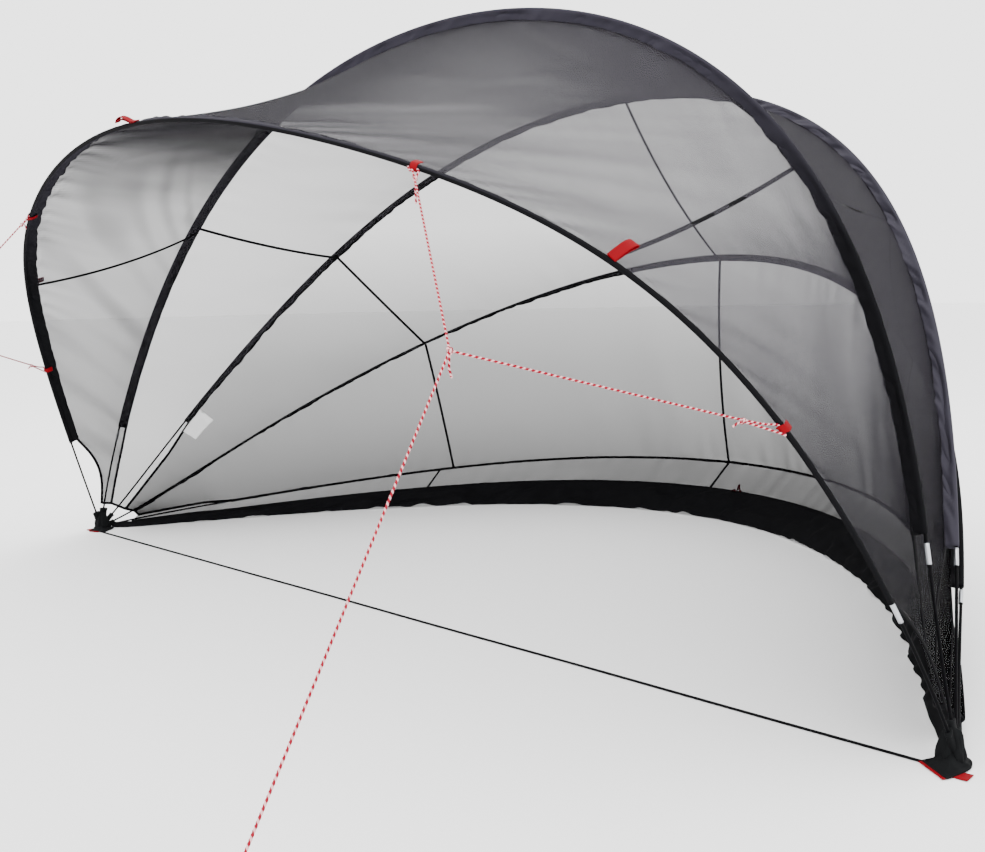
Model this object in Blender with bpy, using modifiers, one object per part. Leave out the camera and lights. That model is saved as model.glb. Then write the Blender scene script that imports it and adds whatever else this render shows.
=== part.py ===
"""Half-dome pool shelter: five hoops hinged at two ground corners, with fabric between them.

Units are metres and degrees. X runs from ground corner to ground corner, +Y to the back, +Z up.
The origin is on the ground, under the middle of the ground strap that ties the two corners.
A hoop is traced by an angle that is 0 at the right corner, 90 at the crown, 180 at the left one.
"""

import math

import bmesh
import bpy
from mathutils import Vector

# Overall layout
HALF_SPAN = 2.443
HUB_BACK = 0.045
HUB_HEIGHT = 0.012
TOUCH_GAP = 0.0003

# Poles and sleeves
POLE_RADIUS = 0.0055
POLE_START = 0.05
FERRULE_RADIUS = 0.007
FERRULE_LENGTH = 0.06
FERRULE_LIP = 0.0005
SLEEVE_THICKNESS = 0.018
SLEEVE_WALL = 0.0025
SLEEVE_SIDES = 8

# Fabric panels
FABRIC_THICKNESS = 0.003
FRONT_FOOT_CLEARANCE = 0.045
FRONT_SCALLOP = 0.045
SEAM_INSET = 0.003
CROSS_SEAM_INSET = 0.001
PANEL_SAG = 0.04
SIDE_STATIONS = (0.30, 0.42, 0.525, 0.60, 0.635, 0.671, 0.75)
SIDE_CELLS = 4
ROOF_CELLS = 10
ACROSS_CELLS = 4

# Foot of the shelter
SKIRT_SHARE = 0.5
SKIRT_DROP = 0.006
SKIRT_FOOT = 0.165
STRAP_WIDTH = 0.025
STRAP_THICKNESS = 0.002

# Corner boots. The patch's outline is for the right corner
BOOT_RADIUS = 0.058
BOOT_WIDTH = 0.09
FINGER_RADIUS = 0.017
FINGER_LENGTH = 0.11
PATCH_OUTLINE = ((2.345, 0.0), (2.400, -0.050), (2.448, -0.072), (2.478, -0.030), (2.503, 0.020),
                 (2.503, 0.070), (2.455, 0.125), (2.375, 0.115), (2.350, 0.050))
PATCH_HEIGHT = 0.022
PATCH_BEVEL = 0.82
STRAP_END = 2.343

# Webbing
WEB_THICKNESS = 0.003
CORNER_WEB_START = 2.3433
CORNER_WEB_END = 2.530
CORNER_WEB_WIDTH = 0.05
CORNER_WEB_Y = -0.022
TAB_LENGTH = 0.10
TAB_WIDTH = 0.045
TAB_GAP = 0.004
APEX_TAB_LENGTH = 0.058
APEX_TAB_WIDTH = 0.018
HEM_TAB_LENGTH = 0.036
HEM_TAB_WIDTH = 0.030
HEM_TAB_SHARE = 0.45
HEM_TAB_GAP = 0.004

# Guy lines
ROPE_RADIUS = 0.003
KNOT_RADIUS = 0.010
LOOP_RADIUS = 0.018
EYE_RADIUS = 0.012
LOOP_CLEARANCE = 0.001
GUY_KNOT = Vector((1.653, -1.123, 1.197))
GUY_STAKE = Vector((1.99, -2.185, 0.0))
GUY_UPPER_ANGLE = 57.0
GUY_LOWER_ANGLE = 22.0
PEG_RADIUS = 0.004
PEG_HEAD_RADIUS = 0.009
PEG_HEIGHT = 0.095
PEG_EYE_HEIGHT = 0.05


class Hoop:
    """One pole's line: how far it leans back, how high it rises and how it bends.

    lean is the tilt of its plane from the ground, counted from the back. rise is its length from
    the corners to the crown in that plane. shoulder and crown square or round it, spread and pinch
    move its sides in or out, and bow lifts it out of its plane. bare is the distance of the
    sleeve's end from the corner and ferrule the ferrule's, at the right and at the left; a
    ferrule inside the sleeve is None. sleeve is the sleeve's width and seam the angle of the cross
    seam. foot is the distance of the fabric from the corner.
    """

    def __init__(self, lean, rise, shoulder, crown, spread, bow=0.0, pinch=0.0, bare=(0.0, 0.0),
                 ferrule=(None, None), sleeve=0.0, seam=90.0, foot=0.0):
        self.lean = math.radians(lean)
        self.rise = rise
        self.shoulder = shoulder
        self.crown = crown
        self.spread = spread
        self.bow = bow
        self.pinch = pinch
        self.bare = bare
        self.ferrule = ferrule
        self.sleeve = sleeve
        self.seam = math.radians(seam)
        self.foot = foot

    def point(self, angle):
        """The pole's axis at an angle in radians."""
        across = HALF_SPAN * math.cos(angle)
        across += self.spread * (math.cos(3 * angle) - math.cos(angle))
        across -= self.pinch * math.sin(2 * angle)
        out = self.rise * math.sin(angle)
        out += self.shoulder * math.sin(3 * angle) + self.crown * math.sin(5 * angle)
        lift = self.bow * math.sin(angle) ** 2
        y = out * math.cos(self.lean) - lift * math.sin(self.lean)
        z = out * math.sin(self.lean) + lift * math.cos(self.lean)
        return Vector((across, y + HUB_BACK, z + HUB_HEIGHT))

    def angle_at(self, distance):
        """The angle at which the pole is a given distance from the right corner."""
        corner = self.point(0.0)
        low = 0.0
        high = math.pi / 2
        for _ in range(40):
            middle = (low + high) / 2
            if (self.point(middle) - corner).length < distance:
                low = middle
            else:
                high = middle
        return low


HOOPS = {
    "front": Hoop(111.07, 2.257, 0.158, 0.047, -0.069, 0.277, 0.267, (0.525, 0.60),
                  (0.461, None), 0.058, 37.8, 0.14),
    "ridge": Hoop(87.90, 2.258, -0.26, -0.025, -0.298, -0.395, 0.166, (0.635, 0.60),
                  (0.545, 0.52), 0.050, 52.2, 0.15),
    "rear_upper": Hoop(54.72, 2.463, -0.542, -0.093, -0.232, -0.14, 0.056, (0.671, 0.75),
                       (0.605, None), 0.046, 54.7, 0.165),
    "rear_middle": Hoop(22.94, 2.584, -0.467, 0.03, -0.289, 0.308, 0.24, (0.75, 0.30),
                        (0.655, None), 0.046, 56.3, 0.20),
    "rear_low": Hoop(8.69, 2.577, -0.303, -0.038, -0.154, -0.191, 0.232, (0.75, 0.75),
                     (0.65, 0.67), 0.040, 52.1, 0.21),
}
HOOP_NAMES = list(HOOPS)

# The hem's line on the ground, traced as a hoop that lies flat
HEM = Hoop(0.0, 1.8576, -0.557, -0.0359, -0.1097)


def hem_point(angle):
    """The hem on the ground at an angle in radians."""
    point = HEM.point(angle)
    point.z = 0.0
    return point


# Materials

def material(name, color, roughness, metallic=0.0):
    """A plain Principled material."""
    made = bpy.data.materials.new(name)
    made.use_nodes = True
    shader = made.node_tree.nodes["Principled BSDF"]
    shader.inputs["Base Color"].default_value = (*color, 1.0)
    shader.inputs["Roughness"].default_value = roughness
    shader.inputs["Metallic"].default_value = metallic
    return made


def make_materials():
    """One material for each kind of stuff that the shelter is made of."""
    return {
        "pole": material("black_pole", (0.02, 0.02, 0.022), 0.4),
        "sleeve": material("black_webbing", (0.015, 0.015, 0.017), 0.8),
        "panel": material("grey_fabric", (0.42, 0.42, 0.43), 0.6),
        "mesh": material("grey_mesh", (0.28, 0.28, 0.28), 0.8),
        "skirt": material("black_skirt", (0.02, 0.02, 0.022), 0.7),
        "boot": material("black_boot", (0.02, 0.022, 0.024), 0.7),
        "red": material("red_webbing", (0.6, 0.02, 0.03), 0.6),
        "rope": material("guy_rope", (0.6, 0.3, 0.3), 0.8),
        "steel": material("peg_steel", (0.6, 0.6, 0.62), 0.35, 1.0),
    }


# Object helpers

def make_collection(name):
    """A collection linked to the scene."""
    made = bpy.data.collections.new(name)
    bpy.context.scene.collection.children.link(made)
    return made


def add_object(name, data, collection, stuff=None):
    """An object for a mesh or curve, in a collection, with its material."""
    made = bpy.data.objects.new(name, data)
    collection.objects.link(made)
    if stuff:
        data.materials.append(stuff)
    return made


def sheet_mesh(name, rows, loop=False):
    """A grid surface through rows of points; loop joins the last column to the first."""
    builder = bmesh.new()
    grid = []
    for row in rows:
        grid.append([builder.verts.new(point) for point in row])
    width = len(rows[0])
    for low, high in zip(grid, grid[1:]):
        for column in range(width if loop else width - 1):
            after = (column + 1) % width
            builder.faces.new((low[column], low[after], high[after], high[column]))
    made = bpy.data.meshes.new(name)
    builder.to_mesh(made)
    builder.free()
    made.shade_smooth()
    made.set_sharp_from_angle(angle=math.radians(35))
    return made


def solidify(thing, thickness):
    """Gives a surface its thickness, half to each side."""
    shell = thing.modifiers.new("thickness", "SOLIDIFY")
    shell.thickness = thickness
    shell.offset = 0.0
    shell.use_even_offset = True


def mirrored(rows, side):
    """The rows on the right as they are, or flipped to the left with their faces still outward."""
    if side > 0:
        return rows
    return [[Vector((-point.x, point.y, point.z)) for point in reversed(row)] for row in rows]


def side_name(side):
    """The word for a side: +1 is right and -1 is left."""
    return "right" if side > 0 else "left"


def flipped(point, side):
    """A point on the right, moved to the given side."""
    return Vector((point.x * side, point.y, point.z))


def slab(name, centre, along, across, size, collection, stuff):
    """A flat rectangular piece of webbing, its length along one direction."""
    builder = bmesh.new()
    bmesh.ops.create_cube(builder, size=1.0)
    made = bpy.data.meshes.new(name)
    builder.to_mesh(made)
    builder.free()
    along = along.normalized()
    up = along.cross(across).normalized()
    across = up.cross(along)
    for vertex in made.vertices:
        corner = vertex.co
        vertex.co = (centre + along * (corner.x * size[0]) + across * (corner.y * size[1])
                     + up * (corner.z * size[2]))
    return add_object(name, made, collection, stuff)


# Hoop geometry

def tangent(hoop, angle):
    """The direction of the pole, from right to left."""
    step = 0.001
    return (hoop.point(angle + step) - hoop.point(angle - step)).normalized()


def outward(name, angle):
    """The direction, square to the pole, that points out of the fabric there."""
    place = HOOP_NAMES.index(name)
    here = HOOPS[name].point(angle)
    ahead = HOOPS[HOOP_NAMES[max(place - 1, 0)]].point(angle)
    if name == "rear_low":
        behind = hem_point(angle)
    else:
        behind = HOOPS[HOOP_NAMES[place + 1]].point(angle)
    normal = (behind - ahead).cross(tangent(HOOPS[name], angle)).normalized()
    if normal.dot(here - Vector((0.0, 0.5, 0.3))) < 0:
        normal.negate()
    return normal


def fin(name, angle):
    """The direction of the sleeve's width, from the pole away from the fabric."""
    hoop = HOOPS[name]
    if name != "front":
        return outward(name, angle)
    away = hoop.point(angle) - HOOPS["ridge"].point(angle)
    along = tangent(hoop, angle)
    return (away - along * away.dot(along)).normalized()


def fabric_line(name, angle):
    """Where the fabric's middle surface meets a hoop."""
    hoop = HOOPS[name]
    offset = hoop.sleeve / 2 + SLEEVE_WALL / 2 + TOUCH_GAP + FABRIC_THICKNESS / 2
    if name == "front":
        first = hoop.angle_at(hoop.foot)
        last = hoop.angle_at(min(hoop.bare))
        near = min(angle, math.pi - angle)
        share = min(max((near - first) / (last - first), 0.0), 1.0)
        offset = FRONT_FOOT_CLEARANCE + (offset - FRONT_FOOT_CLEARANCE) * share
        offset += FRONT_SCALLOP * math.sin(math.pi * share)
    return hoop.point(angle) - fin(name, angle) * offset


def side_angles(hoop):
    """The stations of a side panel, from its foot by the corner up to the cross seam."""
    low = [hoop.angle_at(distance) for distance in (hoop.foot,) + SIDE_STATIONS]
    span = hoop.seam - low[-1]
    return low + [low[-1] + span * (step + 1) / SIDE_CELLS for step in range(SIDE_CELLS)]


def roof_angles(hoop):
    """The stations of a roof panel, from the right cross seam to the left one."""
    span = math.pi - 2 * hoop.seam
    return [hoop.seam + span * step / ROOF_CELLS for step in range(ROOF_CELLS + 1)]


def trimmed(angles, hoop, first, last):
    """The stations with an end moved in by the small gap that a cross seam leaves."""
    inset = CROSS_SEAM_INSET / hoop.rise
    result = list(angles)
    if first:
        result[0] += inset
    if last:
        result[-1] -= inset
    return result


def panel_rows(ahead, behind, angles_ahead, angles_behind, cells=ACROSS_CELLS):
    """A panel's surface between two fabric lines, sagging inward between them."""
    rows = []
    for angle_ahead, angle_behind in zip(angles_ahead, angles_behind):
        start = fabric_line(ahead, angle_ahead)
        end = fabric_line(behind, angle_behind)
        width = (end - start).length
        inset = SEAM_INSET / width
        inward = -(outward(ahead, angle_ahead) + outward(behind, angle_behind)).normalized()
        row = []
        for step in range(cells + 1):
            share = inset + (1.0 - 2.0 * inset) * step / cells
            sag = PANEL_SAG * width * 4 * share * (1 - share)
            row.append(start.lerp(end, share) + inward * sag)
        rows.append(row)
    return rows


# Poles and sleeves

def pole_side(hoop, ferrule):
    """A side of a pole up to the cross seam: angles with a radius factor, thick at the ferrule."""
    marks = [(POLE_START, 1.0), (FINGER_LENGTH, 1.0)]
    if ferrule:
        swell = FERRULE_RADIUS / POLE_RADIUS
        end = ferrule + FERRULE_LENGTH
        marks += [(ferrule, 1.0), (ferrule + FERRULE_LIP, swell), (end, swell)]
        marks += [(end + FERRULE_LIP, 1.0)]
    path = [(hoop.angle_at(distance), factor) for distance, factor in marks]
    for angle in side_angles(hoop):
        if all(abs(angle - other) * HALF_SPAN > FERRULE_LENGTH / 2 for other, _ in path):
            path.append((angle, 1.0))
    return sorted(path)


def pole_path(hoop):
    """The pole's points with a radius factor each, from the right corner to the left one."""
    path = pole_side(hoop, hoop.ferrule[0])
    path += [(angle, 1.0) for angle in roof_angles(hoop)[1:-1]]
    left = reversed(pole_side(hoop, hoop.ferrule[1]))
    path += [(math.pi - angle, factor) for angle, factor in left]
    return [(hoop.point(angle), factor) for angle, factor in path]


def tube_curve(name, path, radius):
    """A round tube along a path of points with radius factors."""
    data = bpy.data.curves.new(name, "CURVE")
    data.dimensions = "3D"
    data.bevel_depth = radius
    data.bevel_resolution = 2
    data.use_fill_caps = True
    spline = data.splines.new("POLY")
    spline.points.add(len(path) - 1)
    for point, (place, factor) in zip(spline.points, path):
        point.co = (*place, 1.0)
        point.radius = factor
    return data


def make_poles(parts, stuff):
    """The five poles, each from corner to corner."""
    for name, hoop in HOOPS.items():
        data = tube_curve(name + "_pole", pole_path(hoop), POLE_RADIUS)
        add_object(name + "_pole", data, parts, stuff["pole"])


def sleeve_rows(name):
    """The flat tunnel around a pole as rings of points, from right to left."""
    hoop = HOOPS[name]
    right, left = [[angle for angle in side_angles(hoop) if angle >= hoop.angle_at(bare)]
                   for bare in hoop.bare]
    angles = right + roof_angles(hoop)[1:-1] + [math.pi - angle for angle in reversed(left)]
    rows = []
    for angle in angles:
        centre = hoop.point(angle)
        out = fin(name, angle)
        flat = tangent(hoop, angle).cross(out)
        ring = []
        for step in range(SLEEVE_SIDES):
            turn = math.tau * step / SLEEVE_SIDES
            wide = math.cos(turn) * hoop.sleeve / 2
            thick = math.sin(turn) * SLEEVE_THICKNESS / 2
            ring.append(centre + out * wide + flat * thick)
        rows.append(ring)
    return rows


def make_sleeves(parts, stuff):
    """The five fabric tunnels that the poles run through."""
    for name in HOOPS:
        mesh = sheet_mesh(name + "_sleeve", sleeve_rows(name), loop=True)
        solidify(add_object(name + "_sleeve", mesh, parts, stuff["sleeve"]), SLEEVE_WALL)


# Fabric

def make_panel(name, rows, parts, stuff):
    """One fabric panel with its thickness."""
    solidify(add_object(name, sheet_mesh(name, rows), parts, stuff), FABRIC_THICKNESS)


def make_side(bay, ahead, behind, parts, stuff):
    """The two side panels of a bay, below its cross seams."""
    hoop_ahead = HOOPS[ahead]
    hoop_behind = HOOPS[behind]
    angles_ahead = trimmed(side_angles(hoop_ahead), hoop_ahead, False, True)
    angles_behind = trimmed(side_angles(hoop_behind), hoop_behind, False, True)
    rows = panel_rows(ahead, behind, angles_ahead, angles_behind)
    for side in (1, -1):
        make_panel(f"{bay}_side_{side_name(side)}", mirrored(rows, side), parts, stuff)


def make_roof(bay, ahead, behind, split, parts, stuff):
    """A bay's roof: one panel, or two with a centre seam between them."""
    hoop_ahead = HOOPS[ahead]
    hoop_behind = HOOPS[behind]
    if not split:
        angles_ahead = trimmed(roof_angles(hoop_ahead), hoop_ahead, True, True)
        angles_behind = trimmed(roof_angles(hoop_behind), hoop_behind, True, True)
        rows = panel_rows(ahead, behind, angles_ahead, angles_behind)
        make_panel(f"{bay}_roof", rows, parts, stuff)
        return
    half = ROOF_CELLS // 2 + 1
    angles_ahead = trimmed(roof_angles(hoop_ahead)[:half], hoop_ahead, True, True)
    angles_behind = trimmed(roof_angles(hoop_behind)[:half], hoop_behind, True, True)
    rows = panel_rows(ahead, behind, angles_ahead, angles_behind)
    for side in (1, -1):
        make_panel(f"{bay}_roof_{side_name(side)}", mirrored(rows, side), parts, stuff)


def length_angles(curve_point, first, last, count):
    """Angles that split a curve between two angles into equal lengths."""
    fine = 400
    angles = [first + (last - first) * step / fine for step in range(fine + 1)]
    lengths = [0.0]
    for before, after in zip(angles, angles[1:]):
        lengths.append(lengths[-1] + (curve_point(after) - curve_point(before)).length)
    result = []
    for step in range(count + 1):
        wanted = lengths[-1] * step / count
        place = min(range(fine + 1), key=lambda index: abs(lengths[index] - wanted))
        result.append(angles[place])
    return result


def foot_lines():
    """Pairs of points from the low hoop's fabric line to the hem, from the right to the centre."""
    low = HOOPS["rear_low"]
    angles = side_angles(low) + roof_angles(low)[1:ROOF_CELLS // 2 + 1]
    angles = trimmed(angles, low, False, True)
    total = 400
    start = HEM.angle_at(SKIRT_FOOT)
    hem_angles = length_angles(hem_point, start, math.pi / 2, total)
    low_angles = length_angles(low.point, angles[0], math.pi / 2, total)
    pairs = []
    for angle in angles:
        share = min(range(total + 1), key=lambda index: abs(low_angles[index] - angle))
        foot = hem_point(hem_angles[share])
        if angle == angles[-1]:
            foot.x = CROSS_SEAM_INSET
        pairs.append((fabric_line("rear_low", angle), foot))
    return pairs


def foot_shares(top, foot, shares):
    """Points on the straight line from the low hoop down to the hem."""
    return [top.lerp(foot, share) for share in shares]


def make_foot(parts, stuff):
    """The low wall under the lowest hoop and the ground skirt below it, in two halves each."""
    wall = []
    skirt = []
    for top, foot in foot_lines():
        inset = SEAM_INSET / (foot - top).length
        wall.append(foot_shares(top, foot, (inset, SKIRT_SHARE / 2, SKIRT_SHARE - inset / 2)))
        lifted = foot + Vector((0.0, 0.0, SKIRT_DROP))
        middle = (1 + SKIRT_SHARE) / 2
        skirt.append(foot_shares(top, lifted, (SKIRT_SHARE + inset / 2, middle, 1.0)) + [foot])
    for side in (1, -1):
        make_panel(f"foot_wall_{side_name(side)}", mirrored(wall, side), parts, stuff["mesh"])
        make_panel(f"skirt_{side_name(side)}", mirrored(skirt, side), parts, stuff["skirt"])


# Corners and strap

def make_boot(side, parts, cutters, stuff):
    """A corner boot: a sewn patch on the ground, a round pocket and a finger for each pole."""
    word = side_name(side)
    low = [Vector((side * x, y, -PATCH_HEIGHT / 2)) for x, y in PATCH_OUTLINE]
    middle = sum(low, Vector()) / len(low)
    high = [middle.lerp(point, PATCH_BEVEL) for point in low]
    for point in high:
        point.z = PATCH_HEIGHT
    count = len(low)
    faces = [tuple(range(count)), tuple(range(count, 2 * count))]
    for step in range(count):
        after = (step + 1) % count
        faces.append((step, after, count + after, count + step))
    mesh = bpy.data.meshes.new(f"corner_boot_{word}")
    mesh.from_pydata(low + high, [], faces)
    builder = bmesh.new()
    builder.from_mesh(mesh)
    bmesh.ops.recalc_face_normals(builder, faces=builder.faces)
    builder.to_mesh(mesh)
    builder.free()
    boot = add_object(mesh.name, mesh, parts, stuff["boot"])
    hub = flipped(HOOPS["front"].point(0.0), side)
    half = Vector((BOOT_WIDTH / 2, 0.0, 0.0))
    pocket = rod(f"boot_pocket_{word}", hub - half, hub + half, BOOT_RADIUS, 24)
    join(boot, move_to(pocket, cutters))
    for name, hoop in HOOPS.items():
        tip = flipped(hoop.point(hoop.angle_at(FINGER_LENGTH)), side)
        finger = rod(f"{name}_finger_{word}", hub, tip, FINGER_RADIUS, 12)
        join(boot, move_to(finger, cutters))
    bpy.ops.mesh.primitive_cube_add(size=4 * FINGER_LENGTH)
    ground = bpy.context.object
    ground.name = f"ground_cutter_{word}"
    ground.location = (side * HALF_SPAN, 0.0, -2 * FINGER_LENGTH)
    cut(boot, move_to(ground, cutters))
    slot = slab(f"webbing_slot_{word}", corner_web_centre(side), Vector((1, 0, 0)),
                Vector((0, 1, 0)), [size + 2 * TOUCH_GAP for size in corner_web_size()],
                cutters, stuff["red"])
    cut(boot, slot)
    for name, hoop in HOOPS.items():
        cut(boot, socket_cutter(name, hoop, side, cutters))


def socket_cutter(name, hoop, side, cutters):
    """A tool as thick as a pole and its clearance, along the pole's end, as a mesh."""
    distances = (POLE_START - TOUCH_GAP, FINGER_LENGTH, SIDE_STATIONS[0])
    path = [(flipped(hoop.point(hoop.angle_at(distance)), side), 1.0) for distance in distances]
    data = tube_curve(f"{name}_socket_{side_name(side)}", path, POLE_RADIUS + TOUCH_GAP)
    guide = add_object(data.name, data, cutters)
    mesh = bpy.data.meshes.new_from_object(guide.evaluated_get(bpy.context.evaluated_depsgraph_get()))
    builder = bmesh.new()
    builder.from_mesh(mesh)
    bmesh.ops.remove_doubles(builder, verts=builder.verts, dist=0.00001)
    builder.to_mesh(mesh)
    builder.free()
    cutter = add_object(guide.name + "_cutter", mesh, cutters)
    cutter.matrix_world = guide.matrix_world
    bpy.data.objects.remove(guide)
    return cutter


def cut(thing, cutter):
    """Takes a cutter out of a piece."""
    step = thing.modifiers.new(cutter.name, "BOOLEAN")
    step.operation = "DIFFERENCE"
    step.solver = "EXACT"
    step.object = cutter


def join(thing, other):
    """Joins another solid to a piece."""
    step = thing.modifiers.new(other.name, "BOOLEAN")
    step.operation = "UNION"
    step.solver = "EXACT"
    step.object = other


def make_strap(parts, stuff):
    """The flat strap on the ground that ties the two corners."""
    length = 2 * STRAP_END
    slab("ground_strap", Vector((0, 0, STRAP_THICKNESS / 2)), Vector((1, 0, 0)), Vector((0, 1, 0)),
         (length, STRAP_WIDTH, STRAP_THICKNESS), parts, stuff["sleeve"])


def corner_web_centre(side):
    """The middle of a corner's red webbing, flat on the ground."""
    return Vector((side * (CORNER_WEB_START + CORNER_WEB_END) / 2, CORNER_WEB_Y, WEB_THICKNESS / 2))


def corner_web_size():
    """The length, width and thickness of a corner's red webbing."""
    return (CORNER_WEB_END - CORNER_WEB_START, CORNER_WEB_WIDTH, WEB_THICKNESS)


def make_corner_webbing(side, parts, stuff):
    """The red webbing that passes under a corner boot and stands out on its outer side."""
    slab(f"corner_webbing_{side_name(side)}", corner_web_centre(side), Vector((1, 0, 0)),
         Vector((0, 1, 0)), corner_web_size(), parts, stuff["red"])


# Red tabs

def make_seam_tab(side, parts, stuff):
    """A wide red tab on the outer face of the front bay, at the foot of the cross seam."""
    hoop = HOOPS["front"]
    ridge = HOOPS["ridge"]
    row = panel_rows("front", "ridge", [hoop.seam], [ridge.seam], 16)[0]
    edge = row[0]
    direction = (row[2] - edge).normalized()
    out = outward("front", hoop.seam)
    lift = FABRIC_THICKNESS / 2 + WEB_THICKNESS / 2 + TAB_GAP
    centre = edge + direction * (TAB_LENGTH / 2 + TAB_GAP) + out * lift
    along = tangent(hoop, hoop.seam)
    slab(f"seam_tab_{side_name(side)}", flipped(centre, side), flipped(direction, side),
         flipped(along, side), (TAB_LENGTH, TAB_WIDTH, WEB_THICKNESS), parts, stuff["red"])


def make_apex_tab(parts, stuff):
    """The short red tab on top of the front sleeve at its crown."""
    crown = math.pi / 2
    up = outward("front", crown)
    lift = SLEEVE_THICKNESS / 2 + SLEEVE_WALL / 2 + WEB_THICKNESS / 2 + TOUCH_GAP
    centre = HOOPS["front"].point(crown) + up * lift
    slab("apex_tab", centre, Vector((1, 0, 0)), fin("front", crown),
         (APEX_TAB_LENGTH, APEX_TAB_WIDTH, WEB_THICKNESS), parts, stuff["red"])


def make_hem_tab(parts, stuff):
    """The small red tab on the inner face of the low wall, just above the skirt."""
    (next_top, next_foot), (last_top, last_foot) = foot_lines()[-2:]
    top = last_top.lerp(next_top, HEM_TAB_SHARE)
    foot = last_foot.lerp(next_foot, HEM_TAB_SHARE)
    along = (next_top - last_top).normalized()
    down = (foot - top).normalized()
    inward = down.cross(along).normalized()
    if inward.y > 0:
        inward.negate()
    seam = top.lerp(foot, SKIRT_SHARE)
    lift = FABRIC_THICKNESS / 2 + WEB_THICKNESS / 2 + HEM_TAB_GAP
    centre = seam - down * (HEM_TAB_LENGTH / 2 + HEM_TAB_GAP) + inward * lift
    slab("hem_tab", centre, down, along, (HEM_TAB_LENGTH, HEM_TAB_WIDTH, WEB_THICKNESS), parts,
         stuff["red"])


# Guy lines

def ring_mesh(name, centre, normal, radius, thickness):
    """A ring of round section in the plane square to a direction."""
    bpy.ops.mesh.primitive_torus_add(major_segments=16, minor_segments=8,
                                     major_radius=radius, minor_radius=thickness)
    ring = bpy.context.object
    ring.name = name
    ring.rotation_mode = "QUATERNION"
    ring.rotation_quaternion = normal.to_track_quat("Z", "X")
    ring.location = centre
    return ring


def move_to(thing, collection):
    """Puts an object in one collection only."""
    for owner in list(thing.users_collection):
        owner.objects.unlink(thing)
    collection.objects.link(thing)
    return thing


def rod(name, start, end, radius, sides=8):
    """A straight round rod between two points."""
    bpy.ops.mesh.primitive_cylinder_add(vertices=sides, radius=radius,
                                        depth=(end - start).length)
    made = bpy.context.object
    made.name = name
    made.rotation_mode = "QUATERNION"
    made.rotation_quaternion = (end - start).to_track_quat("Z", "Y")
    made.location = (start + end) / 2
    return made


def make_guy(side, parts, cutters, stuff):
    """One side's guy line: two red loops on the sleeve, and the knotted rope down to its peg."""
    word = side_name(side)
    knot_place = flipped(GUY_KNOT, side)
    stake = flipped(GUY_STAKE, side) + Vector((0, 0, PEG_EYE_HEIGHT))
    extras = []
    for label, degrees in (("upper", GUY_UPPER_ANGLE), ("lower", GUY_LOWER_ANGLE)):
        angle = math.radians(degrees)
        hoop = HOOPS["front"]
        reach = hoop.sleeve / 2 + SLEEVE_WALL / 2
        edge = flipped(hoop.point(angle) + fin("front", angle) * reach, side)
        along = flipped(tangent(hoop, angle), side)
        pull = (knot_place - edge).normalized()
        plane = pull.cross(along).normalized()
        slant = math.sin(pull.angle(along))
        centre = edge + pull * ((LOOP_RADIUS + ROPE_RADIUS + LOOP_CLEARANCE) / slant)
        loop = ring_mesh(f"guy_loop_{label}_{word}", centre, plane, LOOP_RADIUS, ROPE_RADIUS)
        loop.data.materials.append(stuff["red"])
        move_to(loop, parts)
        reach = LOOP_RADIUS + EYE_RADIUS - 2 * ROPE_RADIUS - TOUCH_GAP
        eye_centre = centre + pull * reach
        eye = ring_mesh(f"guy_eye_{label}_{word}", eye_centre, pull.cross(plane), EYE_RADIUS,
                        ROPE_RADIUS)
        extras.append(eye)
        start = eye_centre + pull * EYE_RADIUS
        extras.append(rod(f"guy_branch_{label}_{word}", start, knot_place, ROPE_RADIUS))
    back = knot_place - stake
    back.z = 0.0
    bottom = stake + back.normalized() * EYE_RADIUS
    rope = rod(f"guy_rope_{word}", knot_place, bottom, ROPE_RADIUS)
    rope.data.materials.append(stuff["rope"])
    move_to(rope, parts)
    extras.append(ring_mesh(f"guy_foot_eye_{word}", stake, Vector((0, 0, 1)), EYE_RADIUS,
                            ROPE_RADIUS))
    bpy.ops.mesh.primitive_ico_sphere_add(subdivisions=2, radius=KNOT_RADIUS, location=knot_place)
    knot = bpy.context.object
    knot.name = f"guy_knot_{word}"
    extras.append(knot)
    for extra in extras:
        move_to(extra, cutters)
        join(rope, extra)


def make_peg(side, parts, stuff):
    """A ground peg's head and the top of its shank, turned from a profile."""
    neck = PEG_HEIGHT - 0.010
    profile = [(0.0, PEG_HEIGHT), (PEG_HEAD_RADIUS, PEG_HEIGHT),
               (PEG_HEAD_RADIUS, PEG_HEIGHT - 0.007), (PEG_RADIUS, neck), (PEG_RADIUS, 0.0),
               (0.0, 0.0)]
    data = bpy.data.meshes.new(f"guy_peg_{side_name(side)}")
    edges = [(index, index + 1) for index in range(len(profile) - 1)]
    data.from_pydata([(x, 0.0, z) for x, z in profile], edges, [])
    peg = add_object(data.name, data, parts, stuff["steel"])
    peg.location = flipped(GUY_STAKE, side)
    turn = peg.modifiers.new("turn", "SCREW")
    turn.steps = 12
    turn.render_steps = 12
    turn.use_merge_vertices = True
    turn.merge_threshold = 0.00001


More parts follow.
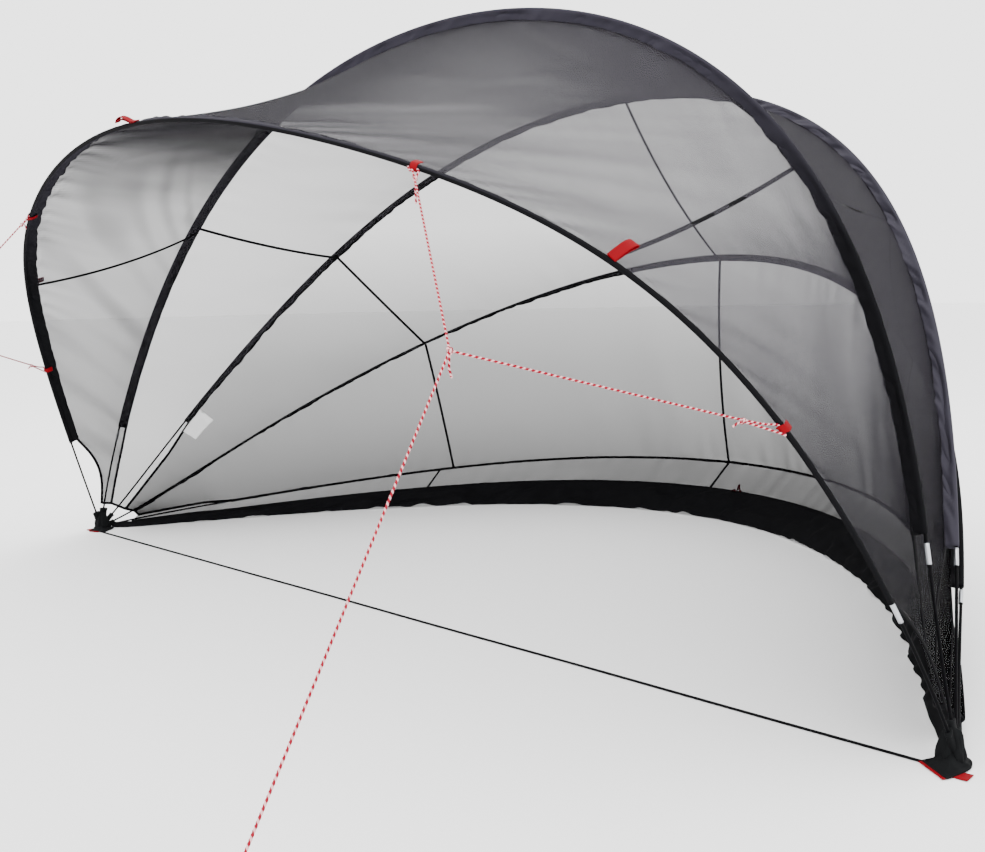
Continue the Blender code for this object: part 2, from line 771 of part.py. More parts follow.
def main():
    for thing in list(bpy.data.objects):
        bpy.data.objects.remove(thing)
    parts = make_collection("pool_dome")
    cutters = make_collection("cutters")
    stuff = make_materials()
    make_poles(parts, stuff)
    make_sleeves(parts, stuff)
    bays = (("front_bay", "front", "ridge", False, "panel"),
            ("upper_bay", "ridge", "rear_upper", False, "panel"),
            ("middle_bay", "rear_upper", "rear_middle", True, "mesh"),
            ("low_bay", "rear_middle", "rear_low", True, "mesh"))
    for bay, ahead, behind, split, kind in bays:
        make_side(bay, ahead, behind, parts, stuff[kind])
        make_roof(bay, ahead, behind, split, parts, stuff[kind])
    make_foot(parts, stuff)
    make_strap(parts, stuff)
    make_apex_tab(parts, stuff)
    make_hem_tab(parts, stuff)
    for side in (1, -1):
        make_boot(side, parts, cutters, stuff)
        make_corner_webbing(side, parts, stuff)
        make_seam_tab(side, parts, stuff)
        make_guy(side, parts, cutters, stuff)
        make_peg(side, parts, stuff)
    for guide in cutters.objects:
        guide.hide_render = True
        guide.display_type = "WIRE"


main()
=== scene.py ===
"""Looks of the pool shelter: fabric, sleeves, cords and trim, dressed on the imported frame.

Lengths are metres unless a name says millimetres. X runs from corner to corner, +Y to the closed
back and +Z up. A hoop is traced by an angle: 0 at the right corner, 90 at its crown, 180 at the
left corner.
"""

import math

import bmesh
import bpy
from mathutils import Matrix, Vector, noise


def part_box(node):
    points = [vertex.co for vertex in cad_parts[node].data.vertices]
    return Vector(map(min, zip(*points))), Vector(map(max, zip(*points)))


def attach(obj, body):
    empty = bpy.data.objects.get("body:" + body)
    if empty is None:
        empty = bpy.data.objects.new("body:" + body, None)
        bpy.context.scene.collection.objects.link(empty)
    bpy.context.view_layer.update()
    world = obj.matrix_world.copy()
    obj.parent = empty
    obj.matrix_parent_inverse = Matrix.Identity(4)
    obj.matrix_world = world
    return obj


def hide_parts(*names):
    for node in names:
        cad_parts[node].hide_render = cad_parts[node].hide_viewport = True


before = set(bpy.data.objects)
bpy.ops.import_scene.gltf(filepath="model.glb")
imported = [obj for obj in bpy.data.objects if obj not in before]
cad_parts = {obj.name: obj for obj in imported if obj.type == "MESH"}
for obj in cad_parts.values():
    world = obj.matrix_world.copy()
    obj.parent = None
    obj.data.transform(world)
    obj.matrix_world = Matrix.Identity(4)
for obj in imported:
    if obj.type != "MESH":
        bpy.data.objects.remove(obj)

bl_info = {
    "name": "Pool shelter looks",
    "version": (1, 0, 0),
    "blender": (4, 5, 0),
    "location": "View3D > Sidebar > Pool shelter",
    "description": "Dresses a hooped pool shelter with fabric, sleeves, cords and webbing",
    "category": "Object",
}

BODY = "root"
MILLIMETRE = 0.001

# The layout repeats the frame's own numbers, because the fabric follows the hoops between stations
HALF_SPAN = 2.443
HUB_BACK = 0.045
HUB_HEIGHT = 0.012
POLE_START = 0.05
POLE_REACH = 0.011

# The cloth: cells along and across a bay, the height below which it is thickened, so darker, as
# painted shade, and how far the front bay's creases slant
BAY_CELLS = (420, 40)
SHADE_HEIGHT = 1.7
CREASE_SLANT = 0.9

# The skirt: its share of the low wall at the left, its height and its growth at the right, and the
# line by each boot where it ends
FOOT_CELLS = 360
FOOT_SEAMS = {"foot_wall_seam": 180, "foot_wall_seam_left": 271}
SKIRT_SHARE = 0.5
SKIRT_HEIGHT = 0.16
SKIRT_GROWTH = 0.28
BOOT_SKIRT_TOP = Vector((2.425, 0.085, 0.035))
BOOT_SKIRT_FOOT = Vector((2.405, 0.095, 0.004))
FRONT_FOOT_CLEARANCE = 0.045
FRONT_SCALLOP = 0.055
TAPE_WIDTH = 0.015
TAPE_THICKNESS = 0.005

# The ground strap, and each corner's red band and ground patch; 1 is right and -1 is left
STRAP_REACH = 2.372
STRAP_WIDTH = 0.018
CORNER_WEB_X = (2.405, 2.500)
CORNER_WEB_Y = {1: -0.022, -1: -0.006}
PATCH_FRONT_SHARE = {1: 1.0, -1: 0.5}
PATCH_SHIFT = {1: 0.0, -1: 0.026}
PATCH_OUTLINE = ((2.358, -0.003), (2.388, -0.026), (2.420, -0.049), (2.448, -0.070),
                 (2.459, -0.060), (2.470, -0.024), (2.478, 0.012), (2.478, 0.048),
                 (2.462, 0.088), (2.430, 0.100), (2.400, 0.075), (2.374, 0.030))
PATCH_PIPING = ((2.356, -0.006), (2.388, -0.030), (2.420, -0.053), (2.449, -0.075))

# The guy ropes: the knot, the peg, the loops' angles on the front hoop in degrees, and the strands
GUY_KNOT = Vector((1.653, -1.123, 1.197))
GUY_STAKE = Vector((1.99, -2.185, 0.0))
PEG_EYE_HEIGHT = 0.05
GUY_UPPER_ANGLE = 56.5
GUY_LOWER_ANGLE = 22.0
LEFT_TAIL_SCALE = 0.35
ROPE_SIDES = 12
ROPE_STEP = 0.00135

# The label: its ends' distances from the left corner, and its width
LABEL_REACH = (0.715, 0.875)
LABEL_WIDTH = 0.09


class Hoop:
    """One pole's line between the two ground corners, with what is sewn along it."""

    def __init__(self, lean, rise, shoulder, crown, spread, bow=0.0, pinch=0.0, bare=(0.0, 0.0),
                 ferrule=(None, None), sleeve=0.0, seam=90.0, foot=0.0):
        self.lean = math.radians(lean)
        self.rise = rise
        self.shoulder = shoulder
        self.crown = crown
        self.spread = spread
        self.bow = bow
        self.pinch = pinch
        self.bare = bare
        self.ferrule = ferrule
        self.sleeve = sleeve
        self.seam = math.radians(seam)
        self.foot = foot

    def point(self, angle):
        """The pole's axis at an angle in radians."""
        across = HALF_SPAN * math.cos(angle)
        across += self.spread * (math.cos(3 * angle) - math.cos(angle))
        across -= self.pinch * math.sin(2 * angle)
        out = self.rise * math.sin(angle)
        out += self.shoulder * math.sin(3 * angle) + self.crown * math.sin(5 * angle)
        lift = self.bow * math.sin(angle) ** 2
        y = out * math.cos(self.lean) - lift * math.sin(self.lean)
        z = out * math.sin(self.lean) + lift * math.cos(self.lean)
        return Vector((across, y + HUB_BACK, z + HUB_HEIGHT))

    def tangent(self, angle):
        """The pole's direction, from the right corner towards the left one."""
        step = 0.001
        return (self.point(angle + step) - self.point(angle - step)).normalized()

    def angle_at(self, distance):
        """The angle at which the pole is a given distance from the right corner."""
        corner = self.point(0.0)
        low = 0.0
        high = math.pi / 2
        for _ in range(40):
            middle = (low + high) / 2
            if (self.point(middle) - corner).length < distance:
                low = middle
            else:
                high = middle
        return low

    def angles_at(self, distances):
        """The angles at a distance from the right corner and at another from the left one."""
        return self.angle_at(distances[0]), math.pi - self.angle_at(distances[1])


# bare and ferrule are distances from the right corner and from the left one
HOOPS = {
    "front": Hoop(111.07, 2.257, 0.158, 0.047, -0.069, 0.277, 0.267, (0.525, 0.586),
                  (0.461, None), 0.058, 37.8, 0.14),
    "ridge": Hoop(87.90, 2.258, -0.26, -0.025, -0.298, -0.395, 0.166, (0.632, 0.606),
                  (0.545, 0.52), 0.050, 52.2, 0.15),
    "rear_upper": Hoop(54.72, 2.463, -0.542, -0.093, -0.232, -0.14, 0.056, (0.671, 0.769),
                       (0.605, None), 0.046, 54.7, 0.165),
    "rear_middle": Hoop(22.94, 2.584, -0.467, 0.03, -0.289, 0.308, 0.24, (0.735, 0.30),
                        (0.655, None), 0.046, 56.3, 0.20),
    "rear_low": Hoop(8.69, 2.577, -0.303, -0.038, -0.154, -0.191, 0.232, (0.73, 0.752),
                     (0.65, 0.67), 0.040, 52.1, 0.21),
}
HOOP_NAMES = list(HOOPS)
HEM = Hoop(0.0, 1.8576, -0.557, -0.0359, -0.1097)

# How far the cloth's bound edge stands off a bare pole: towards the middle, back, up and out
EDGE_STAND_OFF = {
    "front": (0.0, 0.0, 0.0, 0.0),
    "ridge": (0.020, 0.008, 0.0, 0.0),
    "rear_upper": (0.034, 0.0, -0.014, 0.0),
    "rear_middle": (0.0, 0.0, 0.0, 0.0),
    "rear_low": (0.0, 0.0, 0.020, 0.034),
}

# Where the two front bays' cross seams run, as shares of the bay's length
SEAM_SHARES = {"front_bay": (0.2545, 0.753), "upper_bay": (0.2575, 0.75)}
# The wide tabs' angles on the front hoop in degrees
SEAM_TAB_ANGLES = {1: 38.4, -1: 37.5}
# The seam tapes lie on the cloth's inner face
SHELTER_MIDDLE = Vector((0.0, 0.3, 0.5))
SEAM_DEPTH = 0.006

# A sleeve hangs inward from its pole. Its width in metres and its turn about the pole in degrees
# change along the hoop, at the angles given here in degrees.
SLEEVE_RIM = 0.009
SEAM_OVERLAP = 0.005
SLEEVE_WIDTHS = {"front": ((15, 0.017), (45, 0.024), (60, 0.030), (100, 0.062), (150, 0.062),
                           (172, 0.050))}
SLEEVE_TURNS = {
    "ridge": ((105, 0), (135, 42)),
    "rear_upper": ((105, 0), (125, 20)),
    "rear_middle": ((55, 0), (72, 28), (95, 28), (115, 0)),
}
BARE_EDGE_OFFSET = 0.023

# Each bay's neighbouring hoops and whether a centre seam splits its roof
BAYS = {
    "front_bay": ("front", "ridge", False),
    "upper_bay": ("ridge", "rear_upper", False),
    "middle_bay": ("rear_upper", "rear_middle", True),
    "low_bay": ("rear_middle", "rear_low", True),
}


class DomeFabricSettings(bpy.types.PropertyGroup):
    """Sizes and colours of the cloth."""

    skirt_foot: bpy.props.FloatProperty(
        name="Skirt foot", description="Distance from the corner to the skirt's end on the ground",
        default=0.13, unit="LENGTH")
    thickness: bpy.props.FloatProperty(
        name="Thickness", description="Drawn thickness of the cloth", default=0.001,
        unit="LENGTH")
    sag: bpy.props.FloatProperty(
        name="Sag", description="Inward sag of a bay as a share of its width", default=0.04)
    roof_colour: bpy.props.StringProperty(
        name="Roof colour", description="sRGB hex of the silver-grey roof cloth",
        default="7b7782")
    wall_colour: bpy.props.StringProperty(
        name="Wall colour", description="sRGB hex of the grey wall cloth", default="5a5a60")
    skirt_colour: bpy.props.StringProperty(
        name="Skirt colour", description="sRGB hex of the ground skirt", default="0e0e10")


class DomeTrimSettings(bpy.types.PropertyGroup):
    """Sizes and colours of sleeves, poles, webbing and cords."""

    pole_radius: bpy.props.FloatProperty(
        name="Pole radius", description="Radius of a tent pole", default=0.005,
        unit="LENGTH")
    ferrule_radius: bpy.props.FloatProperty(
        name="Ferrule radius", description="Radius of a pole ferrule", default=0.007,
        unit="LENGTH")
    ferrule_length: bpy.props.FloatProperty(
        name="Ferrule length", description="Length of a pole ferrule", default=0.06,
        unit="LENGTH")
    sleeve_thickness: bpy.props.FloatProperty(
        name="Sleeve thickness", description="Thickness of a sleeve over its pole",
        default=0.0155, unit="LENGTH")
    rope_radius: bpy.props.FloatProperty(
        name="Rope radius", description="Radius of a guy rope", default=0.0030,
        unit="LENGTH")
    sleeve_colour: bpy.props.StringProperty(
        name="Sleeve colour", description="sRGB hex of the pole sleeves", default="101012")
    # painted light: the black sleeves turn to this colour at the top, where light from above falls;
    # the silver-backed sleeve turns to it on its paler right side
    lit_and_pale_colour: bpy.props.StringProperty(
        name="Lit and pale colour", description="sRGB hex of the sleeves' painted light at the top and of the silver-backed sleeve's pale side",
        default="312f37")
    webbing_colour: bpy.props.StringProperty(
        name="Webbing colour", description="sRGB hex of the red webbing", default="78000e")
    rope_light: bpy.props.StringProperty(
        name="Rope light", description="sRGB hex of the rope's light strands",
        default="e6b0b2")


class DomeStageSettings(bpy.types.PropertyGroup):
    """The camera and the light."""

    lens: bpy.props.FloatProperty(
        name="Lens", description="Focal length in millimetres", default=40.56)
    eye: bpy.props.FloatVectorProperty(
        name="Camera place", description="Where the camera stands", size=3,
        default=(3.536, -2.971, 1.347), subtype="TRANSLATION")
    yaw: bpy.props.FloatProperty(
        name="Yaw", description="Camera's turn to the left of +Y", default=math.radians(43.40),
        subtype="ANGLE")
    pitch: bpy.props.FloatProperty(
        name="Pitch", description="Camera's tilt upwards", default=math.radians(-7.18),
        subtype="ANGLE")
    roll: bpy.props.FloatProperty(
        name="Roll", description="Camera's turn about its own axis",
        default=math.radians(-1.12), subtype="ANGLE")
    floor_colour: bpy.props.StringProperty(
        name="Floor colour", description="sRGB hex of the floor", default="f4f4f4")


# Colours and materials

def linear(hex_code):
    """A linear colour from an sRGB hex code."""
    channels = [int(hex_code[start:start + 2], 16) / 255 for start in (0, 2, 4)]
    return [value / 12.92 if value <= 0.04045 else ((value + 0.055) / 1.055) ** 2.4
            for value in channels]


def add_node(tree, kind, settings=None, values=None, links=None):
    """Adds a shader node with its settings, its input values and the sockets that feed it."""
    made = tree.nodes.new(kind)
    for name, value in (settings or {}).items():
        setattr(made, name, value)
    for name, value in (values or {}).items():
        made.inputs[name].default_value = value
    for name, socket in (links or {}).items():
        tree.links.new(socket, made.inputs[name])
    return made


def new_material(name):
    """An empty node material and its output node."""
    made = bpy.data.materials.new(name)
    made.use_nodes = True
    made.node_tree.nodes.clear()
    output = made.node_tree.nodes.new("ShaderNodeOutputMaterial")
    return made, made.node_tree, output


def weave_height(tree, coordinates, spacing_mm):
    """A plain weave's height, 0 to 1: two crossed waves on a map in metres."""
    turns = 1 / (spacing_mm * MILLIMETRE)
    bands = []
    for direction in ("X", "Y"):
        bands.append(add_node(tree, "ShaderNodeTexWave",
                              {"wave_type": "BANDS", "bands_direction": direction},
                              {"Scale": turns / 6.2832, "Distortion": 0.0},
                              {"Vector": coordinates}))
    return add_node(tree, "ShaderNodeMath", {"operation": "MULTIPLY"}, None,
                    {0: bands[0].outputs["Fac"], 1: bands[1].outputs["Fac"]}).outputs[0]


def fade_node(tree, place, axis, start, end, colours, far_code):
    """Colours that turn into another one between two places on an axis, in metres."""
    parts = add_node(tree, "ShaderNodeSeparateXYZ", None, None, {"Vector": place})
    share = add_node(tree, "ShaderNodeMapRange", None, {"From Min": start, "From Max": end},
                     {"Value": parts.outputs[axis]})
    faded = add_node(tree, "ShaderNodeMix", {"data_type": "RGBA"}, None,
                     {"Factor": share.outputs["Result"]})
    tree.links.new(colours, faded.inputs["A"])
    faded.inputs["B"].default_value = (*linear(far_code), 1.0)
    return faded.outputs["Result"]


def cloth_material(name, colour, thread_share, depth, thickness, roughness, spacing_mm):
    """Sheer woven polyester: light goes straight on between the threads, and less of it the
    flatter it meets the cloth. depth is the exponent taken off at a right angle; thread_share
    is what the threads on each face catch and scatter."""
    made, tree, output = new_material(name)
    place = add_node(tree, "ShaderNodeTexCoord")
    weave = weave_height(tree, place.outputs["UV"], spacing_mm)
    cloud = add_node(tree, "ShaderNodeTexNoise", None, {"Scale": 2.2, "Detail": 3.0},
                     {"Vector": place.outputs["Object"]})
    light = linear(colour)
    dark = [value * 0.85 for value in light]
    tone = add_node(tree, "ShaderNodeMix", {"data_type": "RGBA"}, None,
                    {"Factor": cloud.outputs["Fac"]})
    tone.inputs["A"].default_value = (*light, 1.0)
    tone.inputs["B"].default_value = (*dark, 1.0)
    bump = add_node(tree, "ShaderNodeBump", None, {"Strength": 0.1, "Distance": 0.0004},
                    {"Height": weave})
    # painted shade: the threads' colour turns dark grey from 1.1 m down to 0.3 m, where the lower
    # cloth lies in shade
    shaded_threads = fade_node(tree, place.outputs["Object"], "Z", 1.1, 0.3,
                       tone.outputs["Result"], "26262a")
    threads = add_node(tree, "ShaderNodeBsdfPrincipled", None,
                       {"Roughness": roughness, "Alpha": thread_share},
                       {"Base Color": shaded_threads, "Normal": bump.outputs[0]})
    gloom = add_node(tree, "ShaderNodeVolumeAbsorption", None,
                     {"Color": (0.0, 0.0, 0.0, 1.0), "Density": depth / thickness})
    tree.links.new(threads.outputs[0], output.inputs["Surface"])
    tree.links.new(gloom.outputs[0], output.inputs["Volume"])
    return made


def coated_material(name, colour, roughness, spacing_mm, metallic=0.0, depth_mm=0.3,
                    specular=0.5, fade=None):
    """A solid surface with a woven or brushed relief of the given spacing. fade is the axis, the
    two places on it between which the colour fades, and the colour it fades to."""
    made, tree, output = new_material(name)
    place = add_node(tree, "ShaderNodeTexCoord")
    weave = weave_height(tree, place.outputs["UV"], spacing_mm)
    cloud = add_node(tree, "ShaderNodeTexNoise", None, {"Scale": 14.0, "Detail": 4.0},
                     {"Vector": place.outputs["Object"]})
    light = linear(colour)
    dark = [value * 0.8 for value in light]
    tone = add_node(tree, "ShaderNodeMix", {"data_type": "RGBA"}, None,
                    {"Factor": cloud.outputs["Fac"]})
    tone.inputs["A"].default_value = (*light, 1.0)
    tone.inputs["B"].default_value = (*dark, 1.0)
    colours = tone.outputs["Result"]
    if fade:
        colours = fade_node(tree, place.outputs["Object"], *fade[:3], colours, fade[3])
    bump = add_node(tree, "ShaderNodeBump", None,
                    {"Strength": 0.5, "Distance": depth_mm * MILLIMETRE}, {"Height": weave})
    shader = add_node(tree, "ShaderNodeBsdfPrincipled", None,
                      {"Roughness": roughness, "Metallic": metallic,
                       "Specular IOR Level": specular},
                      {"Base Color": colours, "Normal": bump.outputs[0]})
    tree.links.new(shader.outputs[0], output.inputs["Surface"])
    return made


def make_materials(fabric, trim):
    """Every finish on the shelter, by the slot it belongs to."""
    return {
        # silver-coated taffeta: a soft lavender-grey sheet that glows when lit from behind
        "roof": cloth_material("sheer_grey_taffeta", fabric.roof_colour, 0.10, 0.42,
                               fabric.thickness, 0.5, 3.0),
        # grey sheer voile: the far side shows through it as a pale grey
        "wall": cloth_material("grey_sheer_voile", fabric.wall_colour, 0.08, 0.42,
                               fabric.thickness, 0.6, 3.0),
        # dyed nylon tunnels: close weave with a dull shine, their colour lighter towards lavender
        # at the top: painted light from above
        "sleeve": coated_material("black_nylon_sleeve", trim.sleeve_colour, 0.7, 2.0,
                                  specular=0.02, fade=("Z", 1.45, 2.2, trim.lit_and_pale_colour)),
        # the same cloth where its silver back is turned out, paler on the right
        "pale_sleeve": coated_material("silver_backed_nylon", trim.sleeve_colour, 0.5, 2.0,
                                       specular=0.04, fade=("X", -1.0, 0.6, trim.lit_and_pale_colour)),
        # black binding tape: flat ribs that hardly shine
        "binding": coated_material("black_binding_tape", "0c0c0e", 0.8, 1.5, specular=0.05),
        # black polyester skirt: the same weave without the shine
        "skirt": coated_material("black_mud_skirt", fabric.skirt_colour, 0.8, 2.0,
                                 specular=0.05),
        # coarse coated pack cloth: nearly black, with no shine
        "boot": coated_material("black_pack_cloth", "101112", 0.8, 2.5, depth_mm=0.6,
                                specular=0.05),
        # polyester webbing: ribs across the tape, saturated red
        "red": coated_material("red_polyester_webbing", trim.webbing_colour, 0.6, 1.6,
                               depth_mm=0.4, specular=0.05),
        # flat polyester strap with the same ribs
        "strap": coated_material("black_webbing_strap", "0a0a0c", 0.8, 1.6, depth_mm=0.4,
                                 specular=0.04),
        # the same webbing, darker: painted shade where it lies low by the skirt
        "soiled_red": coated_material("shaded_red_webbing", "38040c", 0.7, 1.6, depth_mm=0.4,
                                      specular=0.05),
        # soft twisted strands: a warm white one and a red one
        "rope_light": coated_material("white_strand", trim.rope_light, 0.8, 0.8, specular=0.1),
        "rope_red": coated_material("red_strand", "8c0c24", 0.8, 0.8, specular=0.1),
        # glass fibre rod: black, with a faint shine
        "pole": coated_material("black_glass_fibre", "08080a", 0.55, 4.0, depth_mm=0.02,
                                specular=0.03),
        # drawn aluminium tube
        "ferrule": coated_material("drawn_aluminium", "b9bbc0", 0.3, 1.0, metallic=1.0,
                                   depth_mm=0.02),
        # zinc-plated steel wire
        "peg": coated_material("zinc_plated_steel", "9a9da2", 0.35, 1.0, metallic=1.0,
                               depth_mm=0.02),
        # woven satin, left blank
        "label": coated_material("white_satin_label", "eeeeee", 0.4, 0.6),
    }


STUFF = {}


# Mesh building

def grid_mesh(name, rows, loop=False, material_of=None):
    """A smooth grid through rows of points, with a map in metres; loop closes each row."""
    width = len(rows[0])
    points = [point for row in rows for point in row]
    faces = []
    columns = width if loop else width - 1
    for row in range(len(rows) - 1):
        for column in range(columns):
            after = (column + 1) % width
            faces.append((row * width + column, row * width + after,
                          (row + 1) * width + after, (row + 1) * width + column))
    mesh = bpy.data.meshes.new(name)
    mesh.from_pydata(points, [], faces)
    along = [[0.0] * (width + 1) for _ in rows]
    across = [[0.0] * (width + 1) for _ in rows]
    for row, line in enumerate(rows):
        for column in range(1, width + 1):
            step = (line[column % width] - line[column - 1]).length
            across[row][column] = across[row][column - 1] + step
    for row in range(1, len(rows)):
        for column in range(width + 1):
            step = (rows[row][column % width] - rows[row - 1][column % width]).length
            along[row][column] = along[row - 1][column] + step
    layer = mesh.uv_layers.new(name="metres")
    corner = 0
    for row in range(len(rows) - 1):
        for column in range(columns):
            for r, c in ((row, column), (row, column + 1), (row + 1, column + 1),
                         (row + 1, column)):
                layer.data[corner].uv = (across[r][c], along[r][c])
                corner += 1
    if material_of:
        for index, polygon in enumerate(mesh.polygons):
            polygon.material_index = material_of(index // columns, index % columns)
    mesh.shade_smooth()
    return mesh


def add_piece(name, mesh, stuff, replaced=()):
    """A visible piece with its finish, riding on the shelter and standing for its nodes."""
    piece = bpy.data.objects.new(name, mesh)
    bpy.context.scene.collection.objects.link(piece)
    for entry in stuff if isinstance(stuff, (list, tuple)) else [stuff]:
        mesh.materials.append(STUFF[entry])
    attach(piece, BODY)
    if replaced:
        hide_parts(*replaced)
    return piece


def solidify(piece, thickness, offset=0.0):
    """Gives a sheet its thickness."""
    shell = piece.modifiers.new("thickness", "SOLIDIFY")
    shell.thickness = thickness
    shell.offset = offset
    shell.use_even_offset = True
    return shell


def thicken(piece, thickness, density):
    """Gives a sheet a thickness that follows a function of the place, so that it is darker where
    its layers lie close; the darkening low down and along folds is painted shade."""
    values = [density(vertex.co) for vertex in piece.data.vertices]
    most = max(values) + 0.01
    group = piece.vertex_groups.new(name="density")
    for vertex, value in zip(piece.data.vertices, values):
        group.add([vertex.index], (value - 1) / (most - 1), "REPLACE")
    shell = solidify(piece, thickness * most)
    shell.vertex_group = group.name
    shell.thickness_vertex_group = 1 / most


def drop_below(place):
    """How far a place lies below the height where the cloth starts to thicken as painted shade; the
    lowest 0.2 m count as one height."""
    return min(max(SHADE_HEIGHT - place.z, 0.0), SHADE_HEIGHT - 0.2)


def roof_shade_density(place):
    """The front bay: thicker, so darker, low down on the left as painted shade, under the front
    hoop's top, and along slanted creases at the left as painted fold shadows."""
    # painted shade: thicker low down on the left
    low = 1.4 * drop_below(place) * ramp(((-0.5, 1.0), (0.5, 0.0)), place.x)
    high = 0.6 * ramp(((1.82, 0.0), (2.02, 1.0)), place.z)
    high *= ramp(((-0.2, 1.0), (0.9, 0.0)), place.x)
    # painted shade: slanted streaks of extra thickness stand for the shadows of the folds
    crease = rough(place.z * 9.0 + place.y * 6.0, place.y * 1.2, 4.4)
    crease = 0.9 * max(crease, 0.0) * ramp(((-1.6, 1.0), (-0.8, 0.0)), place.x)
    return 1 + low + high + crease


def upper_density(place):
    """The bay behind the ridge: denser on the right, where two cloths overlap, and thicker lower
    down as painted shade.
    """
    return ramp(((-0.6, 1.05), (0.6, 1.95)), place.x) + 0.5 * drop_below(place)


def wall_shade_density(place):
    """The walls: thicker towards the ground, painted shade that darkens them there, less so on the
    right.
    """
    return 1 + 2.3 * drop_below(place) * ramp(((-0.5, 1.0), (1.5, 0.35)), place.x)


def foot_shade_density(place):
    """The low wall under the last hoop: thicker towards the ground, painted shade that darkens it
    there, less so on the right.
    """
    return 1 + 1.55 * drop_below(place) * ramp(((-0.5, 1.0), (1.5, 0.6)), place.x)


DENSITIES = {"front_bay": roof_shade_density, "upper_bay": upper_density}


def tube_rows(path, radii, sides=16):
    """Rings around a path, turned as little as possible from one to the next."""
    rows = []
    normal = None
    for index, (place, radius) in enumerate(zip(path, radii)):
        ahead = path[min(index + 1, len(path) - 1)]
        behind = path[max(index - 1, 0)]
        direction = (ahead - behind).normalized()
        if normal is None:
            seed = Vector((0, 0, 1)) if abs(direction.z) < 0.9 else Vector((1, 0, 0))
            normal = direction.cross(seed).normalized()
        normal = (normal - direction * normal.dot(direction)).normalized()
        other = direction.cross(normal)
        ring = []
        for step in range(sides):
            turn = math.tau * step / sides
            ring.append(place + normal * (math.cos(turn) * radius)
                        + other * (math.sin(turn) * radius))
        rows.append(ring)
    return rows


def cap_ends(mesh, rings, sides):
    """Closes both ends of a tube that was built ring by ring."""
    builder = bmesh.new()
    builder.from_mesh(mesh)
    builder.verts.ensure_lookup_table()
    builder.faces.new([builder.verts[index] for index in reversed(range(sides))])
    last = (rings - 1) * sides
    builder.faces.new([builder.verts[last + index] for index in range(sides)])
    bmesh.ops.recalc_face_normals(builder, faces=builder.faces)
    builder.to_mesh(mesh)
    builder.free()


def ribbon_rows(path, across, widths, thicknesses, sides=12, square=0.45):
    """Flat rings along a path, their width along the given directions. Their section is an oval,
    and the smaller square is, the more of a rectangle it is."""
    rows = []
    for index, place in enumerate(path):
        ahead = path[min(index + 1, len(path) - 1)]
        behind = path[max(index - 1, 0)]
        direction = (ahead - behind).normalized()
        wide = (across[index] - direction * across[index].dot(direction)).normalized()
        thick = direction.cross(wide)
        ring = []
        for step in range(sides):
            turn = math.tau * (step + 0.5) / sides
            x = math.copysign(abs(math.cos(turn)) ** square, math.cos(turn))
            y = math.copysign(abs(math.sin(turn)) ** square, math.sin(turn))
            ring.append(place + wide * (x * widths[index] / 2)
                        + thick * (y * thicknesses[index] / 2))
        rows.append(ring)
    return rows


def closed_tube(name, rows, material_of=None):
    """A closed mesh from rings, capped at both ends, with its faces outward."""
    mesh = grid_mesh(name, rows, loop=True, material_of=material_of)
    cap_ends(mesh, len(rows), len(rows[0]))
    return mesh


def smooth_path(points, steps):
    """A smooth line through the points, with a number of steps between each pair."""
    padded = [points[0] * 2 - points[1]] + list(points) + [points[-1] * 2 - points[-2]]
    result = []
    for index in range(1, len(padded) - 2):
        a, b, c, d = padded[index - 1:index + 3]
        for step in range(steps):
            t = step / steps
            bend = (c - a) * t + (a * 2 - b * 5 + c * 4 - d) * t ** 2
            bend += (b * 3 - a - c * 3 + d) * t ** 3
            result.append(b + bend * 0.5)
    result.append(points[-1].copy())
    return result


def evenly(path, spacing):
    """The path's points again, at equal steps."""
    result = [path[0].copy()]
    carried = 0.0
    for before, after in zip(path, path[1:]):
        length = (after - before).length
        along = spacing - carried
        while along <= length:
            result.append(before.lerp(after, along / length))
            along += spacing
        carried = length - (along - spacing)
    return result


def side_name(side):
    """The word for a side: +1 is right and -1 is left."""
    return "right" if side > 0 else "left"


def flipped(point, side):
    """A point on the right, moved to the given side."""
    return Vector((point.x * side, point.y, point.z))


# The shelter's own surfaces

def hem_point(angle):
    """The hem on the ground at an angle in radians."""
    point = HEM.point(angle)
    point.z = 0.0
    return point


def outward(name, angle):
    """The direction, square to the pole, that points out of the fabric there."""
    place = HOOP_NAMES.index(name)
    here = HOOPS[name].point(angle)
    ahead = HOOPS[HOOP_NAMES[max(place - 1, 0)]].point(angle)
    if name == "rear_low":
        behind = hem_point(angle)
    else:
        behind = HOOPS[HOOP_NAMES[place + 1]].point(angle)
    normal = (behind - ahead).cross(HOOPS[name].tangent(angle)).normalized()
    if normal.dot(here - Vector((0.0, 0.5, 0.3))) < 0:
        normal.negate()
    return normal


def fin(name, angle):
    """The direction of the sleeve's width, from the pole away from the fabric."""
    hoop = HOOPS[name]
    if name != "front":
        return outward(name, angle)
    away = hoop.point(angle) - HOOPS["ridge"].point(angle)
    along = hoop.tangent(angle)
    return (away - along * away.dot(along)).normalized()


def rough(x, y, z):
    """Smooth noise between about -1 and 1."""
    return noise.noise(Vector((x, y, z)))


def ramp(stations, value):
    """A number read off a line through (place, number) stations, level beyond both ends."""
    if value <= stations[0][0]:
        return stations[0][1]
    for (start, low), (end, high) in zip(stations, stations[1:]):
        if value <= end:
            return low + (high - low) * (value - start) / (end - start)
    return stations[-1][1]


def sleeve_width(name, angle):
    """How wide the sleeve is from its rim beyond the pole to the seam where the cloth joins it."""
    return ramp(SLEEVE_WIDTHS.get(name, ((0, HOOPS[name].sleeve),)), math.degrees(angle))


def sleeve_way(name, angle):
    """The direction of the sleeve's width, outward, with the turn that the cloth's pull gives."""
    out = fin(name, angle)
    turn = math.radians(ramp(SLEEVE_TURNS.get(name, ((0, 0),)), math.degrees(angle)))
    return out * math.cos(turn) + out.cross(HOOPS[name].tangent(angle)) * math.sin(turn)


